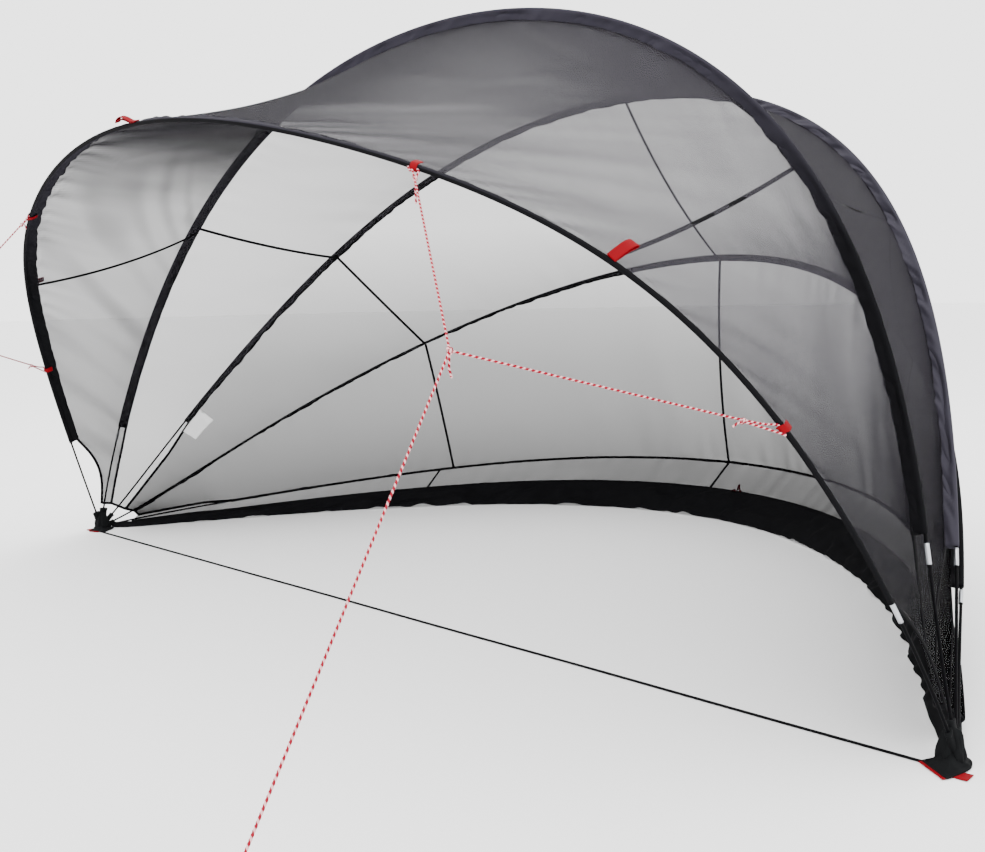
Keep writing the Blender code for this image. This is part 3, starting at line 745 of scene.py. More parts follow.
def fabric_line(name, angle):
    """Where the cloth meets a hoop: at its sleeve's inner edge, and on below the sleeve as a
    bound edge that stands off the bare pole, most of all on the front hoop."""
    hoop = HOOPS[name]
    right = angle < math.pi / 2
    near = angle if right else math.pi - angle
    first = hoop.angle_at(hoop.foot)
    last = hoop.angle_at(hoop.bare[0 if right else 1])
    share = min(max((near - first) / (last - first), 0.0), 1.0)
    offset = sleeve_width(name, angle) - SLEEVE_RIM - SEAM_OVERLAP
    if name == "front":
        offset = FRONT_FOOT_CLEARANCE + (offset - FRONT_FOOT_CLEARANCE) * share
        offset += FRONT_SCALLOP * math.sin(math.pi * share)
    else:
        offset += (BARE_EDGE_OFFSET - offset) * min((1.0 - share) * 4.0, 1.0)
    inner, back, up, out = [value * min((1.0 - share) * 4.0, 1.0)
                            for value in EDGE_STAND_OFF[name]]
    return (hoop.point(angle) + sleeve_way(name, angle) * (out - offset)
            + Vector((-inner if right else inner, back, up)))


def bay_angle(hoop, foot_angle, share):
    """A hoop's angle at a share of the bay's length: cross seams lie at a quarter from each end."""
    mirrored = share > 0.5
    near = 1 - share if mirrored else share
    if near < 0.25:
        angle = foot_angle + (hoop.seam - foot_angle) * near / 0.25
    else:
        angle = hoop.seam + (math.pi / 2 - hoop.seam) * (near - 0.25) / 0.25
    return math.pi - angle if mirrored else angle


def wrinkle(along, across, width, edge_share):
    """How far the cloth stands off its smooth shape at a place given in metres: broad folds that
    run from hoop to hoop, and short puckers where the cloth is gathered into a sleeve."""
    edge = min(across, width - across)
    broad = rough(along * 2.6, across * 0.7, 3.1)
    broad += 0.5 * rough(along * 6.5 + across * 1.5, across * 1.6, 9.7)
    inner = min(edge / 0.25, 1.0)
    pucker = rough(along * 13.0, across * 1.4, 21.3)
    pucker *= math.exp(-edge / 0.13) * min(edge / 0.02, 1.0)
    return (0.011 * broad * inner + 0.009 * pucker) * edge_share


def bay_rows(bay, fabric, along_cells, across_cells, first=0.0, last=1.0, folds=1.0):
    """The bay's cloth between its two hoops, from the right corner to the left one."""
    ahead, behind, _ = BAYS[bay]
    feet = [HOOPS[name].angle_at(HOOPS[name].foot) for name in (ahead, behind)]
    phase = 40.0 * list(BAYS).index(bay)
    rows = []
    travelled = 0.0
    before = None
    for step in range(along_cells + 1):
        share = first + (last - first) * step / along_cells
        angles = [bay_angle(HOOPS[name], foot_angle, share)
                  for name, foot_angle in zip((ahead, behind), feet)]
        start = fabric_line(ahead, angles[0])
        end = fabric_line(behind, angles[1])
        if before is not None:
            travelled += (start.lerp(end, 0.5) - before).length
        before = start.lerp(end, 0.5)
        width = (end - start).length
        inward = -(outward(ahead, angles[0]) + outward(behind, angles[1])).normalized()
        calm = min(share, 1 - share) / 0.06
        slant = CREASE_SLANT * ramp(((0.4, 1.0), (0.6, -1.0)), share) if ahead == "front" else 0.0
        row = []
        for column in range(across_cells + 1):
            place = column / across_cells
            depth = fabric.sag * width * 4 * place * (1 - place)
            lean = slant * place * width
            depth += folds * wrinkle(travelled + phase + lean, place * width, width,
                                     min(calm, 1.0))
            row.append(start.lerp(end, place) + inward * depth)
        rows.append(row)
    return rows


def wall_share(top, foot):
    """The share of the way from the low hoop to the hem that is wall; the rest is skirt, which
    is all there is near the right corner."""
    drop = (foot - top).length
    short = (1 - SKIRT_GROWTH) * max(drop - SKIRT_HEIGHT, 0.02) / drop
    return SKIRT_SHARE + (short - SKIRT_SHARE) * ramp(((-0.5, 0.0), (0.8, 1.0)), foot.x)


def foot_pairs(fabric, count):
    """Pairs of points from the low hoop's cloth line to the hem, from right to left."""
    low = HOOPS["rear_low"]
    first = low.angle_at(low.foot)
    hem_first = HEM.angle_at(fabric.skirt_foot)
    low_angles = even_angles(low.point, first, count)
    hem_angles = even_angles(hem_point, hem_first, count)
    return [(fabric_line("rear_low", low_angle), hem_point(hem_angle))
            for low_angle, hem_angle in zip(low_angles, hem_angles)]


def even_angles(curve_point, first, count):
    """Angles from one corner to the other at equal steps along a curve."""
    fine = 1200
    span = math.pi - 2 * first
    angles = [first + span * step / fine for step in range(fine + 1)]
    lengths = [0.0]
    for before, after in zip(angles, angles[1:]):
        lengths.append(lengths[-1] + (curve_point(after) - curve_point(before)).length)
    result = []
    place = 0
    for step in range(count + 1):
        wanted = lengths[-1] * step / count
        while place < fine - 1 and lengths[place + 1] < wanted:
            place += 1
        part = (wanted - lengths[place]) / (lengths[place + 1] - lengths[place])
        result.append(angles[place] + (angles[place + 1] - angles[place]) * min(part, 1.0))
    return result


def bay_nodes(bay):
    """The frame's nodes that a bay's cloth stands for."""
    sides = [f"{bay}_side_right", f"{bay}_side_left"]
    if BAYS[bay][2]:
        return sides + [f"{bay}_roof_right", f"{bay}_roof_left"]
    return sides + [f"{bay}_roof"]


# Operators

class DOME_OT_stage(bpy.types.Operator):
    """Makes the camera, the pale floor and the soft light"""

    bl_idname = "dome.stage"
    bl_label = "Stage"

    def execute(self, context):
        settings = context.scene.dome_stage
        camera_data = bpy.data.cameras.new("camera")
        camera_data.lens = settings.lens
        camera_data.sensor_width = 36.0
        camera_data.sensor_fit = "HORIZONTAL"
        camera_data.clip_end = 200.0
        camera = bpy.data.objects.new("camera", camera_data)
        context.scene.collection.objects.link(camera)
        ahead = Vector((-math.sin(settings.yaw) * math.cos(settings.pitch),
                        math.cos(settings.yaw) * math.cos(settings.pitch),
                        math.sin(settings.pitch)))
        level = Vector((math.cos(settings.yaw), math.sin(settings.yaw), 0.0))
        upright = level.cross(ahead)
        right = level * math.cos(settings.roll) + upright * math.sin(settings.roll)
        up = upright * math.cos(settings.roll) - level * math.sin(settings.roll)
        turn = Matrix((right, up, -ahead)).transposed()
        camera.matrix_world = Matrix.Translation(Vector(settings.eye)) @ turn.to_4x4()
        context.scene.camera = camera

        floor_mesh = bpy.data.meshes.new("floor")
        builder = bmesh.new()
        bmesh.ops.create_circle(builder, cap_ends=True, radius=60.0, segments=64)
        builder.to_mesh(floor_mesh)
        builder.free()
        floor = bpy.data.objects.new("floor", floor_mesh)
        context.scene.collection.objects.link(floor)
        made, tree, output = new_material("matt_white_floor")
        shader = add_node(tree, "ShaderNodeBsdfPrincipled", None,
                          {"Base Color": (*linear(settings.floor_colour), 1.0),
                           "Roughness": 0.9, "Specular IOR Level": 0.1})
        tree.links.new(shader.outputs[0], output.inputs["Surface"])
        floor_mesh.materials.append(made)
        floor.location.z = -0.001

        world = bpy.data.worlds.new("studio")
        world.use_nodes = True
        world.node_tree.nodes["Background"].inputs["Color"].default_value = (1, 1, 1, 1)
        world.node_tree.nodes["Background"].inputs["Strength"].default_value = 3.0
        context.scene.world = world
        lamps = (("key", (2.0, -1.0, 9.0), 7.0, 450.0), ("back", (-4.0, 6.0, 8.0), 6.0, 250.0))
        for name, place, size, power in lamps:
            data = bpy.data.lights.new(name, "AREA")
            data.shape = "DISK"
            data.size = size
            data.energy = power
            lamp = bpy.data.objects.new(name, data)
            context.scene.collection.objects.link(lamp)
            lamp.location = place
            aim = Vector((0.0, 0.8, 1.0)) - Vector(place)
            lamp.rotation_mode = "QUATERNION"
            lamp.rotation_quaternion = aim.to_track_quat("-Z", "Y")
        return {"FINISHED"}


class DOME_OT_canopy(bpy.types.Operator):
    """Stretches one sheet of cloth over each bay"""

    bl_idname = "dome.canopy"
    bl_label = "Canopy"

    def execute(self, context):
        fabric = context.scene.dome_fabric
        for bay in BAYS:
            stuff = "roof" if bay in ("front_bay", "upper_bay") else "wall"
            rows = bay_rows(bay, fabric, *BAY_CELLS)
            mesh = grid_mesh(f"{bay}_cloth", rows)
            piece = add_piece(f"{bay}_cloth", mesh, stuff, bay_nodes(bay))
            thicken(piece, fabric.thickness, DENSITIES.get(bay, wall_shade_density))
        return {"FINISHED"}


class DOME_OT_foot(bpy.types.Operator):
    """Hangs the low wall and the gathered ground skirt"""

    bl_idname = "dome.foot"
    bl_label = "Low wall and skirt"

    def execute(self, context):
        fabric = context.scene.dome_fabric
        pairs = foot_pairs(fabric, FOOT_CELLS)
        wall = []
        skirt = []
        travelled = 0.0
        for index, (top, foot) in enumerate(pairs):
            if index:
                travelled += (foot - pairs[index - 1][1]).length
            drop = (foot - top).length
            after = pairs[min(index + 1, FOOT_CELLS)][0]
            along = (after - pairs[max(index - 1, 0)][0]).normalized()
            out = along.cross(foot - top).normalized()
            calm = min(index, FOOT_CELLS - index, 20) / 20
            line = []
            part = wall_share(top, foot)
            for step in range(13):
                share = part * step / 12
                depth = 0.5 * wrinkle(travelled + 200.0, share * drop, drop * part, calm)
                line.append(top.lerp(foot, share) - out * depth)
            wall.append(line)
            line = []
            for step in range(19):
                down = step / 18
                place = top.lerp(foot, part + (1 - part) * down)
                gather = rough(travelled * 5.0, down * 1.5, 5.5)
                gather += 0.7 * rough(travelled * 13.0, down * 3.0, 7.5)
                place -= out * (0.034 * gather * calm * min(down / 0.25, 1.0))
                place.z = max(place.z, 0.003 + 0.004 * (1 - down))
                line.append(place)
            skirt.append(line)
        for side, first in ((1, skirt[0]), (-1, skirt[-1])):
            start = [flipped(BOOT_SKIRT_TOP.lerp(BOOT_SKIRT_FOOT, step / 18), side)
                     for step in range(19)]
            end = [[near.lerp(far, step / 12) for near, far in zip(start, first)]
                   for step in range(12)]
            skirt = end + skirt if side > 0 else skirt + end[::-1]
        mesh = grid_mesh("foot_wall_cloth", wall)
        piece = add_piece("foot_wall_cloth", mesh, "wall",
                          ["foot_wall_left", "foot_wall_right"])
        thicken(piece, fabric.thickness, foot_shade_density)
        piece = add_piece("skirt_cloth", grid_mesh("skirt_cloth", skirt), "skirt",
                          ["skirt_left", "skirt_right"])
        solidify(piece, fabric.thickness)
        return {"FINISHED"}


class DOME_OT_tunnels(bpy.types.Operator):
    """Sews the ruffled sleeves that the poles run through"""

    bl_idname = "dome.tunnels"
    bl_label = "Sleeves"

    def execute(self, context):
        trim = context.scene.dome_trim
        sides = 24
        cells = 460
        for order, (name, hoop) in enumerate(HOOPS.items()):
            first, last = hoop.angles_at(hoop.bare)
            lean, depth = (2.4, 0.016) if name == "rear_upper" else (0.9, 0.009)
            rows = []
            travelled = 0.0
            before = hoop.point(first)
            for step in range(cells + 1):
                angle = first + (last - first) * step / cells
                centre = hoop.point(angle)
                travelled += (centre - before).length
                before = centre
                out = sleeve_way(name, angle)
                flat = hoop.tangent(angle).cross(out)
                half = sleeve_width(name, angle) / 2
                ring = []
                for corner in range(sides):
                    turn = math.tau * corner / sides
                    wide = SLEEVE_RIM + half * (math.cos(turn) - 1)
                    slant = travelled + lean * wide
                    face = math.copysign(0.6, math.sin(turn)) + 11.0 * order
                    ruffle = rough(slant * 10.0, wide * 12.0, face)
                    ruffle += 0.8 * rough(slant * 27.0, wide * 16.0, face + 5.0)
                    swell = 0.25 + 0.75 * math.exp(-(wide / POLE_REACH) ** 2)
                    swell *= trim.sleeve_thickness / 2
                    thick = math.copysign(min(abs(math.sin(turn)) * 2.5, 1.0), math.sin(turn))
                    loose = min(max(-wide, 0.0) / 0.015, 1.0) * min((half / 0.022) ** 2, 1.0)
                    ring.append(centre + out * (wide + 0.003 * ruffle * loose)
                                + flat * (thick * swell + depth * ruffle * loose))
                rows.append(ring)

            def edge(row, column, both=name == "front"):
                reach = math.cos(math.tau * (column + 0.5) / sides)
                return int(reach < -0.88 or both and reach > 0.8)

            stuff = "pale_sleeve" if name == "rear_upper" else "sleeve"
            mesh = closed_tube(f"{name}_tunnel", rows, material_of=edge)
            add_piece(f"{name}_tunnel", mesh, (stuff, "binding"), [f"{name}_sleeve"])
        return {"FINISHED"}


class DOME_OT_seams(bpy.types.Operator):
    """Lays the seam tapes on the cloth's inner face and binds its free edges"""

    bl_idname = "dome.seams"
    bl_label = "Seams and bindings"

    def execute(self, context):
        fabric = context.scene.dome_fabric
        for bay, (_, _, split) in BAYS.items():
            right, left = SEAM_SHARES.get(bay, (0.25, 0.75))
            places = [("seam_right", right), ("seam_left", left), ("hem_right", 0.0),
                      ("hem_left", 1.0)]
            if split:
                places.append(("seam_middle", 0.5))
            for word, share in places:
                line, across = self.line_across(bay, fabric, share)
                if "seam" in word:
                    line = [point + (SHELTER_MIDDLE - point).normalized() * SEAM_DEPTH
                            for point in line]
                self.tape(f"{bay}_{word}", line, across)
        pairs = foot_pairs(fabric, FOOT_CELLS)
        for name, index in FOOT_SEAMS.items():
            line = self.foot_line(*pairs[index])
            self.tape(name, line, [Vector((1, 0, 0))] * len(line))
        line = [top.lerp(foot, wall_share(top, foot)) for top, foot in pairs]
        self.tape("skirt_band", line, [foot - top for top, foot in pairs])
        for name, hoop in HOOPS.items():
            ends = hoop.angles_at([bare + 0.03 for bare in hoop.bare])
            feet = hoop.angles_at((hoop.foot, hoop.foot))
            for side, foot_angle, top_angle in zip((1, -1), feet, ends):
                angles = [foot_angle + (top_angle - foot_angle) * step / 24 for step in range(25)]
                across = [fin(name, angle) if name == "front" else
                          fin(name, angle).cross(hoop.tangent(angle)) for angle in angles]
                self.tape(f"{name}_binding_{side_name(side)}",
                          [fabric_line(name, angle) for angle in angles], across)
        return {"FINISHED"}

    def foot_line(self, top, foot):
        """A seam down the low wall, from the low hoop to the skirt."""
        return [top.lerp(foot, wall_share(top, foot) * step / 20) for step in range(21)]

    def line_across(self, bay, fabric, share):
        """The bay's own line from one hoop to the other at a share of its length, and the
        direction along the hoops there."""
        step = 0.0005
        start = min(max(share - step, 0.0), 1.0 - 2 * step)
        rows = bay_rows(bay, fabric, 1, 40, start, start + 2 * step, 0.0)
        line = [first.lerp(last, 0.5) for first, last in zip(*rows)]
        return line, [last - first for first, last in zip(*rows)]

    def tape(self, name, line, across):
        """A flat felled seam or a folded binding along a line."""
        count = len(line)
        rows = ribbon_rows(line, across, [TAPE_WIDTH] * count, [TAPE_THICKNESS] * count, 10, 0.6)
        return add_piece(name, closed_tube(name, rows), "binding")


class DOME_OT_rods(bpy.types.Operator):
    """Draws the five poles with their bright ferrules"""

    bl_idname = "dome.rods"
    bl_label = "Poles"

    def execute(self, context):
        trim = context.scene.dome_trim
        for name, hoop in HOOPS.items():
            right, left = [self.half(hoop, ferrule, trim) for ferrule in hoop.ferrule]
            first = right[-1][0]
            span = math.pi - left[-1][0] - first
            crown = [(first + span * step / 220, False) for step in range(1, 220)]
            marks = right + crown + [(math.pi - angle, bright) for angle, bright in reversed(left)]
            radii = [trim.ferrule_radius if bright else trim.pole_radius for _, bright in marks]
            rows = tube_rows([hoop.point(angle) for angle, _ in marks], radii, 14)
            shiny = [before[1] and after[1] for before, after in zip(marks, marks[1:])]
            mesh = closed_tube(f"{name}_rod", rows,
                               material_of=lambda row, column: int(shiny[row]))
            add_piece(f"{name}_rod", mesh, ("pole", "ferrule"), [f"{name}_pole"])
        return {"FINISHED"}

    def half(self, hoop, ferrule, trim):
        """Stations from a corner up to the sleeve, each with whether it is on the ferrule."""
        lip = 0.001
        marks = [(POLE_START + 0.02 * step, False) for step in range(38)]
        if ferrule:
            end = ferrule + trim.ferrule_length
            marks = [mark for mark in marks if not ferrule - 2 * lip < mark[0] < end + 2 * lip]
            marks += [(ferrule - lip, False), (end + lip, False)]
            marks += [(ferrule + (end - ferrule) * step / 3, True) for step in range(4)]
        return sorted((hoop.angle_at(distance), bright) for distance, bright in marks)


def patch_place(x, y, side, height=0.0):
    """A place on a corner's ground patch: the left one is pulled inward and lies less forward."""
    share = PATCH_FRONT_SHARE[side] if y < 0 else 1.0
    return Vector((side * (x - PATCH_SHIFT[side]), y * share, height))


class DOME_OT_boots(bpy.types.Operator):
    """Sews the corner boots: a patch on the ground, a pouch and a pocket for each pole"""

    bl_idname = "dome.boots"
    bl_label = "Corner boots"

    # Each pole's pocket: its width where it opens and its distance from the corner there
    pockets = {"front": (0.038, 0.100), "ridge": (0.042, 0.115), "rear_upper": (0.026, 0.095),
               "rear_middle": (0.020, 0.075), "rear_low": (0.022, 0.080)}

    def execute(self, context):
        for side in (1, -1):
            word = side_name(side)
            add_piece(f"boot_patch_{word}", self.patch(side), "boot",
                      [f"corner_boot_{word}"])
            add_piece(f"boot_pouch_{word}", self.pouch(side), "boot")
            for name in HOOPS:
                add_piece(f"{name}_pocket_{word}", self.pocket(name, side), "boot")
        return {"FINISHED"}

    def patch(self, side):
        """The flared skirt of the boot, highest under the pouch and thin along its sewn edge."""
        corners = [patch_place(x, y, side) for x, y in PATCH_OUTLINE]
        outline = smooth_path(corners + corners[:1], 6)[:-1]
        middle = Vector((side * (HALF_SPAN - 0.015), HUB_BACK - 0.01, 0.0))
        profile = [(0.05, 0.001), (0.60, 0.001), (0.96, 0.001), (1.0, 0.003), (1.0, 0.006),
                   (0.97, 0.008), (0.93, 0.007), (0.84, 0.009), (0.72, 0.013), (0.60, 0.019),
                   (0.50, 0.027), (0.40, 0.036), (0.25, 0.046), (0.05, 0.050)]
        rows = []
        for reach, height in profile:
            ring = []
            for point in outline:
                place = middle.lerp(point, reach)
                crease = rough(place.x * 28.0, place.y * 28.0, 4.0 * reach)
                lift = 0.010 * crease if 0.008 < height else 0.0
                ring.append(Vector((place.x, place.y, height + lift)))
            rows.append(ring)
        return closed_tube(f"boot_patch_{side_name(side)}", rows)

    def pouch(self, side):
        """The bulge that holds the pole ends, gathered where the pockets leave it."""
        middle = Vector((side * (HALF_SPAN - 0.020), HUB_BACK - 0.004, 0.0))
        profile = [(0.80, 0.008), (0.96, 0.014), (1.0, 0.026), (0.98, 0.038), (0.90, 0.050),
                   (0.80, 0.062), (0.70, 0.076), (0.60, 0.090), (0.46, 0.100), (0.20, 0.106)]
        rows = []
        for reach, height in profile:
            ring = []
            for step in range(48):
                turn = math.tau * step / 48
                fold = rough(math.cos(turn) * 2.2, math.sin(turn) * 2.2,
                             height * 12.0 + side)
                fold += 0.6 * rough(math.cos(turn) * 5.0, math.sin(turn) * 5.0,
                                    height * 20.0 + side)
                grow = reach * (1 + 0.26 * fold)
                ring.append(middle + Vector((0.043 * math.cos(turn) * grow,
                                             0.040 * math.sin(turn) * grow, height)))
            rows.append(ring)
        return closed_tube(f"boot_pouch_{side_name(side)}", rows)

    def pocket(self, name, side):
        """A flat tube of cloth round a pole's end, with a bound rim."""
        hoop = HOOPS[name]
        width, reach = self.pockets[name]
        path = []
        across = []
        widths = []
        thicknesses = []
        stations = [(0.0, 0.9), (0.2, 1.0), (0.4, 1.0), (0.6, 1.02), (0.8, 1.0), (0.9, 1.0),
                    (0.92, 1.08), (0.98, 1.1), (1.0, 1.0)]
        for share, swell in stations:
            angle = hoop.angle_at(0.02 + (reach - 0.02) * share)
            path.append(flipped(hoop.point(angle), side))
            fold = rough(share * 3.0, len(name), side * 2.0)
            across.append(flipped(HOOPS["front"].point(0.3) - HOOPS["rear_low"].point(0.3), side))
            widths.append(width * swell * (1 + 0.10 * fold))
            thicknesses.append(0.020 * swell * (1 + 0.25 * fold))
        rows = ribbon_rows(path, across, widths, thicknesses, 20, 0.8)
        return closed_tube(f"{name}_pocket_{side_name(side)}", rows)


class DOME_OT_webbing(bpy.types.Operator):
    """Lays the ground strap and sews on the red webbing"""

    bl_idname = "dome.webbing"
    bl_label = "Strap and webbing"

    def execute(self, context):
        count = 160
        line = []
        for step in range(count + 1):
            x = STRAP_REACH * (2 * step / count - 1)
            sway = 0.003 * rough(x * 1.3, 0.0, 8.8)
            line.append(Vector((x, sway, 0.0015)))
        self.band("ground_tie", line, Vector((0, 1, 0)), STRAP_WIDTH, 0.002, ["ground_strap"],
                  "strap", "sleeve")
        for side in (1, -1):
            word = side_name(side)
            low, high = CORNER_WEB_X
            line = [Vector((side * (low - PATCH_SHIFT[side] + (high - low) * step / 16),
                            CORNER_WEB_Y[side], 0.002 + 0.004 * max(step / 16 - 0.8, 0.0)))
                    for step in range(17)]
            self.band(f"corner_band_{word}", line, Vector((0, 1, 0)), 0.05, 0.003,
                      [f"corner_webbing_{word}"])
            shown = PATCH_PIPING if side > 0 else PATCH_PIPING[1:]
            edge = [patch_place(x, y, side, 0.003) for x, y in shown]
            self.band(f"patch_piping_{word}", smooth_path(edge, 6), Vector((0, 1, 0)), 0.010, 0.004)
            self.seam_tab(side)
        self.apex_tab()
        self.hem_loop()
        return {"FINISHED"}

    def band(self, name, line, across, width, thickness, replaced=(), stuff="red",
             slot="red_webbing"):
        """A strip of webbing along a line."""
        count = len(line)
        rows = ribbon_rows(line, [across] * count, [width] * count, [thickness] * count)
        return add_piece(name, closed_tube(name, rows), stuff, replaced)

    def seam_tab(self, side):
        """The wide tab at a front cross seam: webbing doubled back on itself, standing off."""
        hoop = HOOPS["front"]
        angle = math.radians(SEAM_TAB_ANGLES[side])
        start = fabric_line("front", angle)
        end = fabric_line("ridge", HOOPS["ridge"].seam)
        along = (end - start).normalized()
        out = outward("front", angle)
        shape = ((-0.012, 0.013), (0.015, 0.026), (0.045, 0.036), (0.072, 0.035), (0.083, 0.029),
                 (0.072, 0.024), (0.045, 0.024), (0.015, 0.015), (-0.008, 0.009))
        lie = 1.0 if side > 0 else 0.4
        points = [flipped(start + along * far + out * high * lie, side) for far, high in shape]
        self.band(f"seam_band_{side_name(side)}", smooth_path(points, 6),
                  flipped(hoop.tangent(hoop.seam), side), 0.031, 0.0022,
                  [f"seam_tab_{side_name(side)}"])

    def apex_tab(self):
        """The tab at the top of the front hoop: a loop of webbing that stands off the sleeve."""
        crown = math.pi / 2
        top = HOOPS["front"].point(crown)
        up = outward("front", crown)
        shape = ((0.042, 0.010), (0.008, 0.013), (-0.022, 0.027), (-0.050, 0.034),
                 (-0.074, 0.027), (-0.086, 0.018), (-0.076, 0.021), (-0.050, 0.026),
                 (-0.022, 0.019), (0.008, 0.008), (0.038, 0.008))
        points = [top + Vector((far, 0, 0)) + up * high for far, high in shape]
        self.band("apex_band", smooth_path(points, 6), fin("front", crown), 0.020, 0.0022,
                  ["apex_tab"])

    def hem_loop(self):
        """The small crumpled loop where the low wall meets the skirt."""
        low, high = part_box("hem_tab")
        middle = (low + high) / 2
        shape = ((-0.034, 0.004, 0.0), (-0.020, 0.016, -0.006), (-0.004, 0.010, -0.010),
                 (0.010, 0.018, -0.010), (0.018, 0.050, -0.006), (0.023, 0.016, -0.006),
                 (0.034, 0.004, 0.0))
        points = [middle + Vector((x + 0.04, y - 0.006, z - 0.02)) for x, z, y in shape]
        # painted shade: the loop takes the darker copy of the red webbing, for the shade it lies in
        self.band("hem_band", smooth_path(points, 6), Vector((0.0, 1.0, 0.15)), 0.016, 0.002,
                  ["hem_tab"], "soiled_red")


class DOME_OT_guys(bpy.types.Operator):
    """Folds the guy loops over the sleeve and ties the ropes to them and to the pegs"""

    bl_idname = "dome.guys"
    bl_label = "Guy ropes"

    def execute(self, context):
        self.radius = context.scene.dome_trim.rope_radius
        for side in (1, -1):
            word = side_name(side)
            knot = flipped(GUY_KNOT, side)
            for label, degrees, reach in (("upper", GUY_UPPER_ANGLE, 0.012),
                                          ("lower", GUY_LOWER_ANGLE, 0.085)):
                self.branch(side, label, math.radians(degrees), reach, knot)
            self.main_rope(side, knot)
            self.tangle(f"guy_knot_{word}", knot, side)
            tail = [Vector((0, 0, 0)), Vector((-0.004, 0.002, -0.020)),
                    Vector((-0.003, 0.0, -0.042)), Vector((0.004, -0.002, -0.056)),
                    Vector((0.009, -0.004, -0.064))]
            self.rope(f"guy_tail_{word}", [knot + flipped(step, side) for step in tail])
            for entry in bpy.data.objects[f"guy_peg_{word}"].material_slots:
                entry.material = STUFF["peg"]
        return {"FINISHED"}

    def rope(self, name, points, replaced=()):
        """A twisted cord of two strands, one light and one red, through the points."""
        path = evenly(smooth_path(points, 24), ROPE_STEP)
        rows = tube_rows(path, [self.radius] * len(path), ROPE_SIDES)
        for index, ring in enumerate(rows):
            for column, point in enumerate(ring):
                turn = math.tau * (column + index) / ROPE_SIDES
                lobe = 1 + 0.14 * math.cos(2 * turn)
                ring[column] = path[index] + (point - path[index]) * lobe
        mesh = closed_tube(name, rows, material_of=self.strand)
        return add_piece(name, mesh, ("rope_light", "rope_red"), replaced)

    def strand(self, row, column):
        """Which strand a face of a cord belongs to: 1 for the red one."""
        return int((column + row + 2) % ROPE_SIDES < 7)

    def branch(self, side, label, angle, reach, knot):
        """One webbing loop with the rope that is tied into it and runs to the knot."""
        word = side_name(side)
        hoop = HOOPS["front"]
        fin_way = flipped(fin("front", angle), side)
        along = flipped(hoop.tangent(angle), side)
        edge = flipped(hoop.point(angle), side) + fin_way * SLEEVE_RIM
        pull = (knot - edge).normalized()
        flat = fin_way.cross(along).normalized()
        loop = [edge - fin_way * 0.034 + flat * 0.009, edge - fin_way * 0.018 + flat * 0.0115,
                edge - fin_way * 0.006 + flat * 0.011, edge + pull * 0.005 + flat * 0.006,
                edge + pull * 0.010, edge + pull * 0.005 - flat * 0.006,
                edge - fin_way * 0.006 - flat * 0.011, edge - fin_way * 0.018 - flat * 0.0115,
                edge - fin_way * 0.034 - flat * 0.009]
        path = smooth_path(loop, 6)
        count = len(path)
        widths = [0.026 - 0.006 * math.sin(math.pi * step / (count - 1)) ** 4
                  for step in range(count)]
        rows = ribbon_rows(path, [along] * count, widths, [0.0022] * count)
        name = f"guy_band_{label}_{word}"
        add_piece(name, closed_tube(name, rows), "red",
                  [f"guy_loop_{label}_{word}"])
        through = edge + pull * 0.004
        tie = edge + pull * (0.030 + reach)
        lane = along * self.radius
        bight = [knot, tie.lerp(knot, 0.5) + lane * 0.3, tie + lane, edge + pull * 0.020
                 + along * 0.014, through + along * 0.017, through, through - along * 0.017,
                 edge + pull * 0.020 - along * 0.014, tie - lane, tie - lane + pull * 0.012]
        self.rope(f"guy_branch_{label}_{word}", bight)
        self.tangle(f"guy_tie_{label}_{word}", tie + pull * 0.006, side, 0.8)
        if label == "upper":
            size = 1.0 if side > 0 else LEFT_TAIL_SCALE
            steps = ((0.012, -0.010), (0.023, -0.030), (0.024, -0.055), (0.020, -0.072))
            tail = [tie] + [tie + Vector((-side * away, away, drop)) * size
                            for away, drop in steps]
        else:
            tail = [tie, tie + pull * 0.02 + Vector((0, 0, -0.010)),
                    tie + pull * 0.034 + Vector((0, 0, -0.022))]
        self.rope(f"guy_end_{label}_{word}", tail)

    def main_rope(self, side, knot):
        """The long rope from the knot to its eye round the peg."""
        word = side_name(side)
        stake = flipped(GUY_STAKE, side) + Vector((0, 0, PEG_EYE_HEIGHT))
        back = (knot - stake).normalized()
        level = Vector((back.x, back.y, 0.0)).normalized()
        lateral = Vector((-level.y, level.x, 0.0))
        tie = stake + back * 0.06
        lane = lateral * self.radius
        points = [knot, tie.lerp(knot, 0.5), tie + lane, stake + level * 0.010 + lateral * 0.010,
                  stake - level * 0.005 + lateral * 0.009, stake - level * 0.010,
                  stake - level * 0.005 - lateral * 0.009,
                  stake + level * 0.010 - lateral * 0.010, tie - lane, tie - lane + back * 0.015]
        self.rope(f"guy_main_{word}", points, [f"guy_rope_{word}"])
        self.tangle(f"guy_tie_foot_{word}", tie + back * 0.006, side, 0.8)

    def tangle(self, name, middle, side, scale=1.0):
        """A small knot: the cord wound through itself."""
        points = []
        for step in range(25):
            turn = math.tau * step / 24
            swing = Vector((math.sin(turn) + 2 * math.sin(2 * turn),
                            -math.sin(3 * turn), math.cos(turn) - 2 * math.cos(2 * turn)))
            points.append(middle + swing * (0.0028 * scale))
        self.rope(name, points)


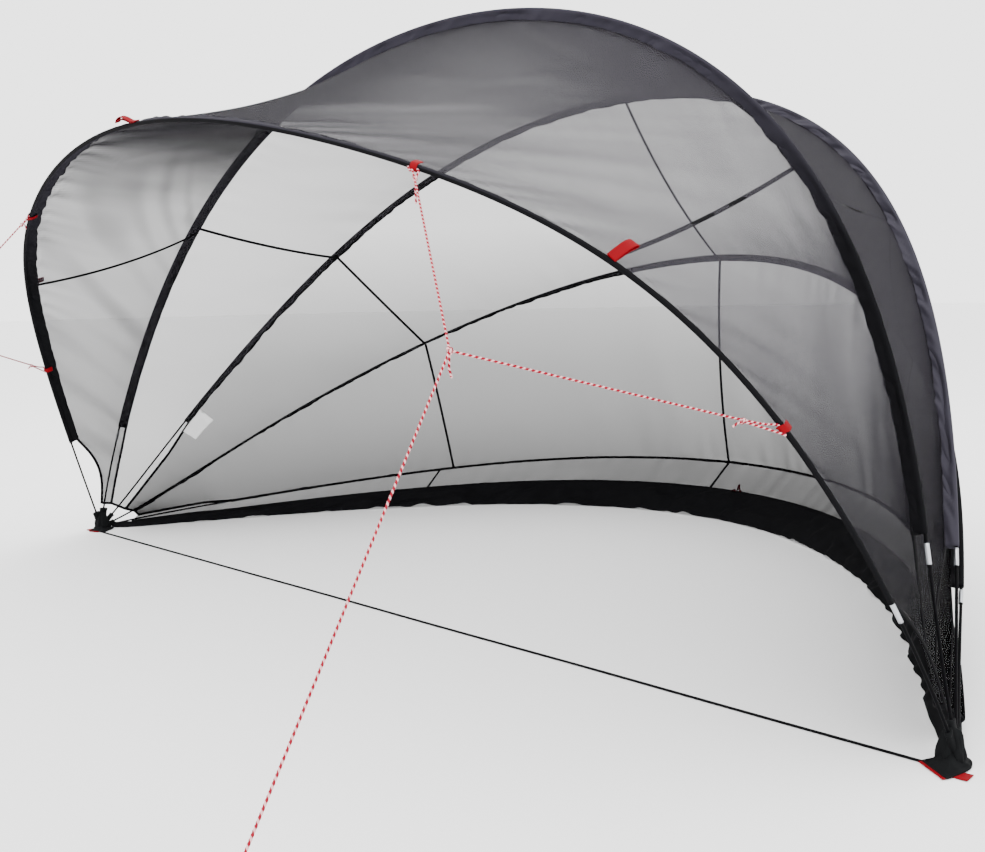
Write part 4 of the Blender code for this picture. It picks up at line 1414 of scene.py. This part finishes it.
class DOME_OT_label(bpy.types.Operator):
    """Sews the blank label along a sleeve on the left"""

    bl_idname = "dome.label"
    bl_label = "Blank label"

    def execute(self, context):
        fabric = context.scene.dome_fabric
        hoop = HOOPS["rear_upper"]
        foot = hoop.angle_at(hoop.foot)
        first, last = [1 - 0.25 * (hoop.angle_at(distance) - foot) / (hoop.seam - foot)
                       for distance in LABEL_REACH[::-1]]
        rows = bay_rows("middle_bay", fabric, 24, 400, first, last)
        count = int(LABEL_WIDTH / ((rows[12][-1] - rows[12][0]).length) * 400)
        sheet = []
        inward = -outward("rear_upper", math.pi - hoop.seam)
        for index, row in enumerate(rows):
            line = []
            for step in range(11):
                curl = 0.003 + 0.008 * (step / 10) ** 2
                curl += 0.003 * rough(index * 0.15, step * 0.2, 2.0)
                line.append(row[count * step // 10] + inward * curl)
            sheet.append(line)
        piece = add_piece("sewn_label", grid_mesh("sewn_label", sheet), "label")
        solidify(piece, 0.0006)
        return {"FINISHED"}


CLASSES = (DomeFabricSettings, DomeTrimSettings, DomeStageSettings, DOME_OT_stage,
           DOME_OT_tunnels, DOME_OT_canopy, DOME_OT_foot, DOME_OT_seams, DOME_OT_rods,
           DOME_OT_boots, DOME_OT_webbing, DOME_OT_guys, DOME_OT_label)
STEPS = ("stage", "tunnels", "canopy", "foot", "seams", "rods", "boots", "webbing", "guys",
         "label")


class DOME_PT_panel(bpy.types.Panel):
    """Lists the shelter's steps in the sidebar"""

    bl_label = "Pool shelter"
    bl_idname = "DOME_PT_panel"
    bl_space_type = "VIEW_3D"
    bl_region_type = "UI"
    bl_category = "Pool shelter"

    def draw(self, context):
        for step in STEPS:
            self.layout.operator(f"dome.{step}")


def register():
    for entry in CLASSES + (DOME_PT_panel,):
        bpy.utils.register_class(entry)
    bpy.types.Scene.dome_fabric = bpy.props.PointerProperty(type=DomeFabricSettings)
    bpy.types.Scene.dome_trim = bpy.props.PointerProperty(type=DomeTrimSettings)
    bpy.types.Scene.dome_stage = bpy.props.PointerProperty(type=DomeStageSettings)


def unregister():
    del bpy.types.Scene.dome_stage
    del bpy.types.Scene.dome_trim
    del bpy.types.Scene.dome_fabric
    for entry in reversed(CLASSES + (DOME_PT_panel,)):
        bpy.utils.unregister_class(entry)


def main():
    register()
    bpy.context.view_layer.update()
    scene = bpy.context.scene
    STUFF.update(make_materials(scene.dome_fabric, scene.dome_trim))
    for step in STEPS:
        getattr(bpy.ops.dome, step)()


if __name__ == "__main__":
    main()
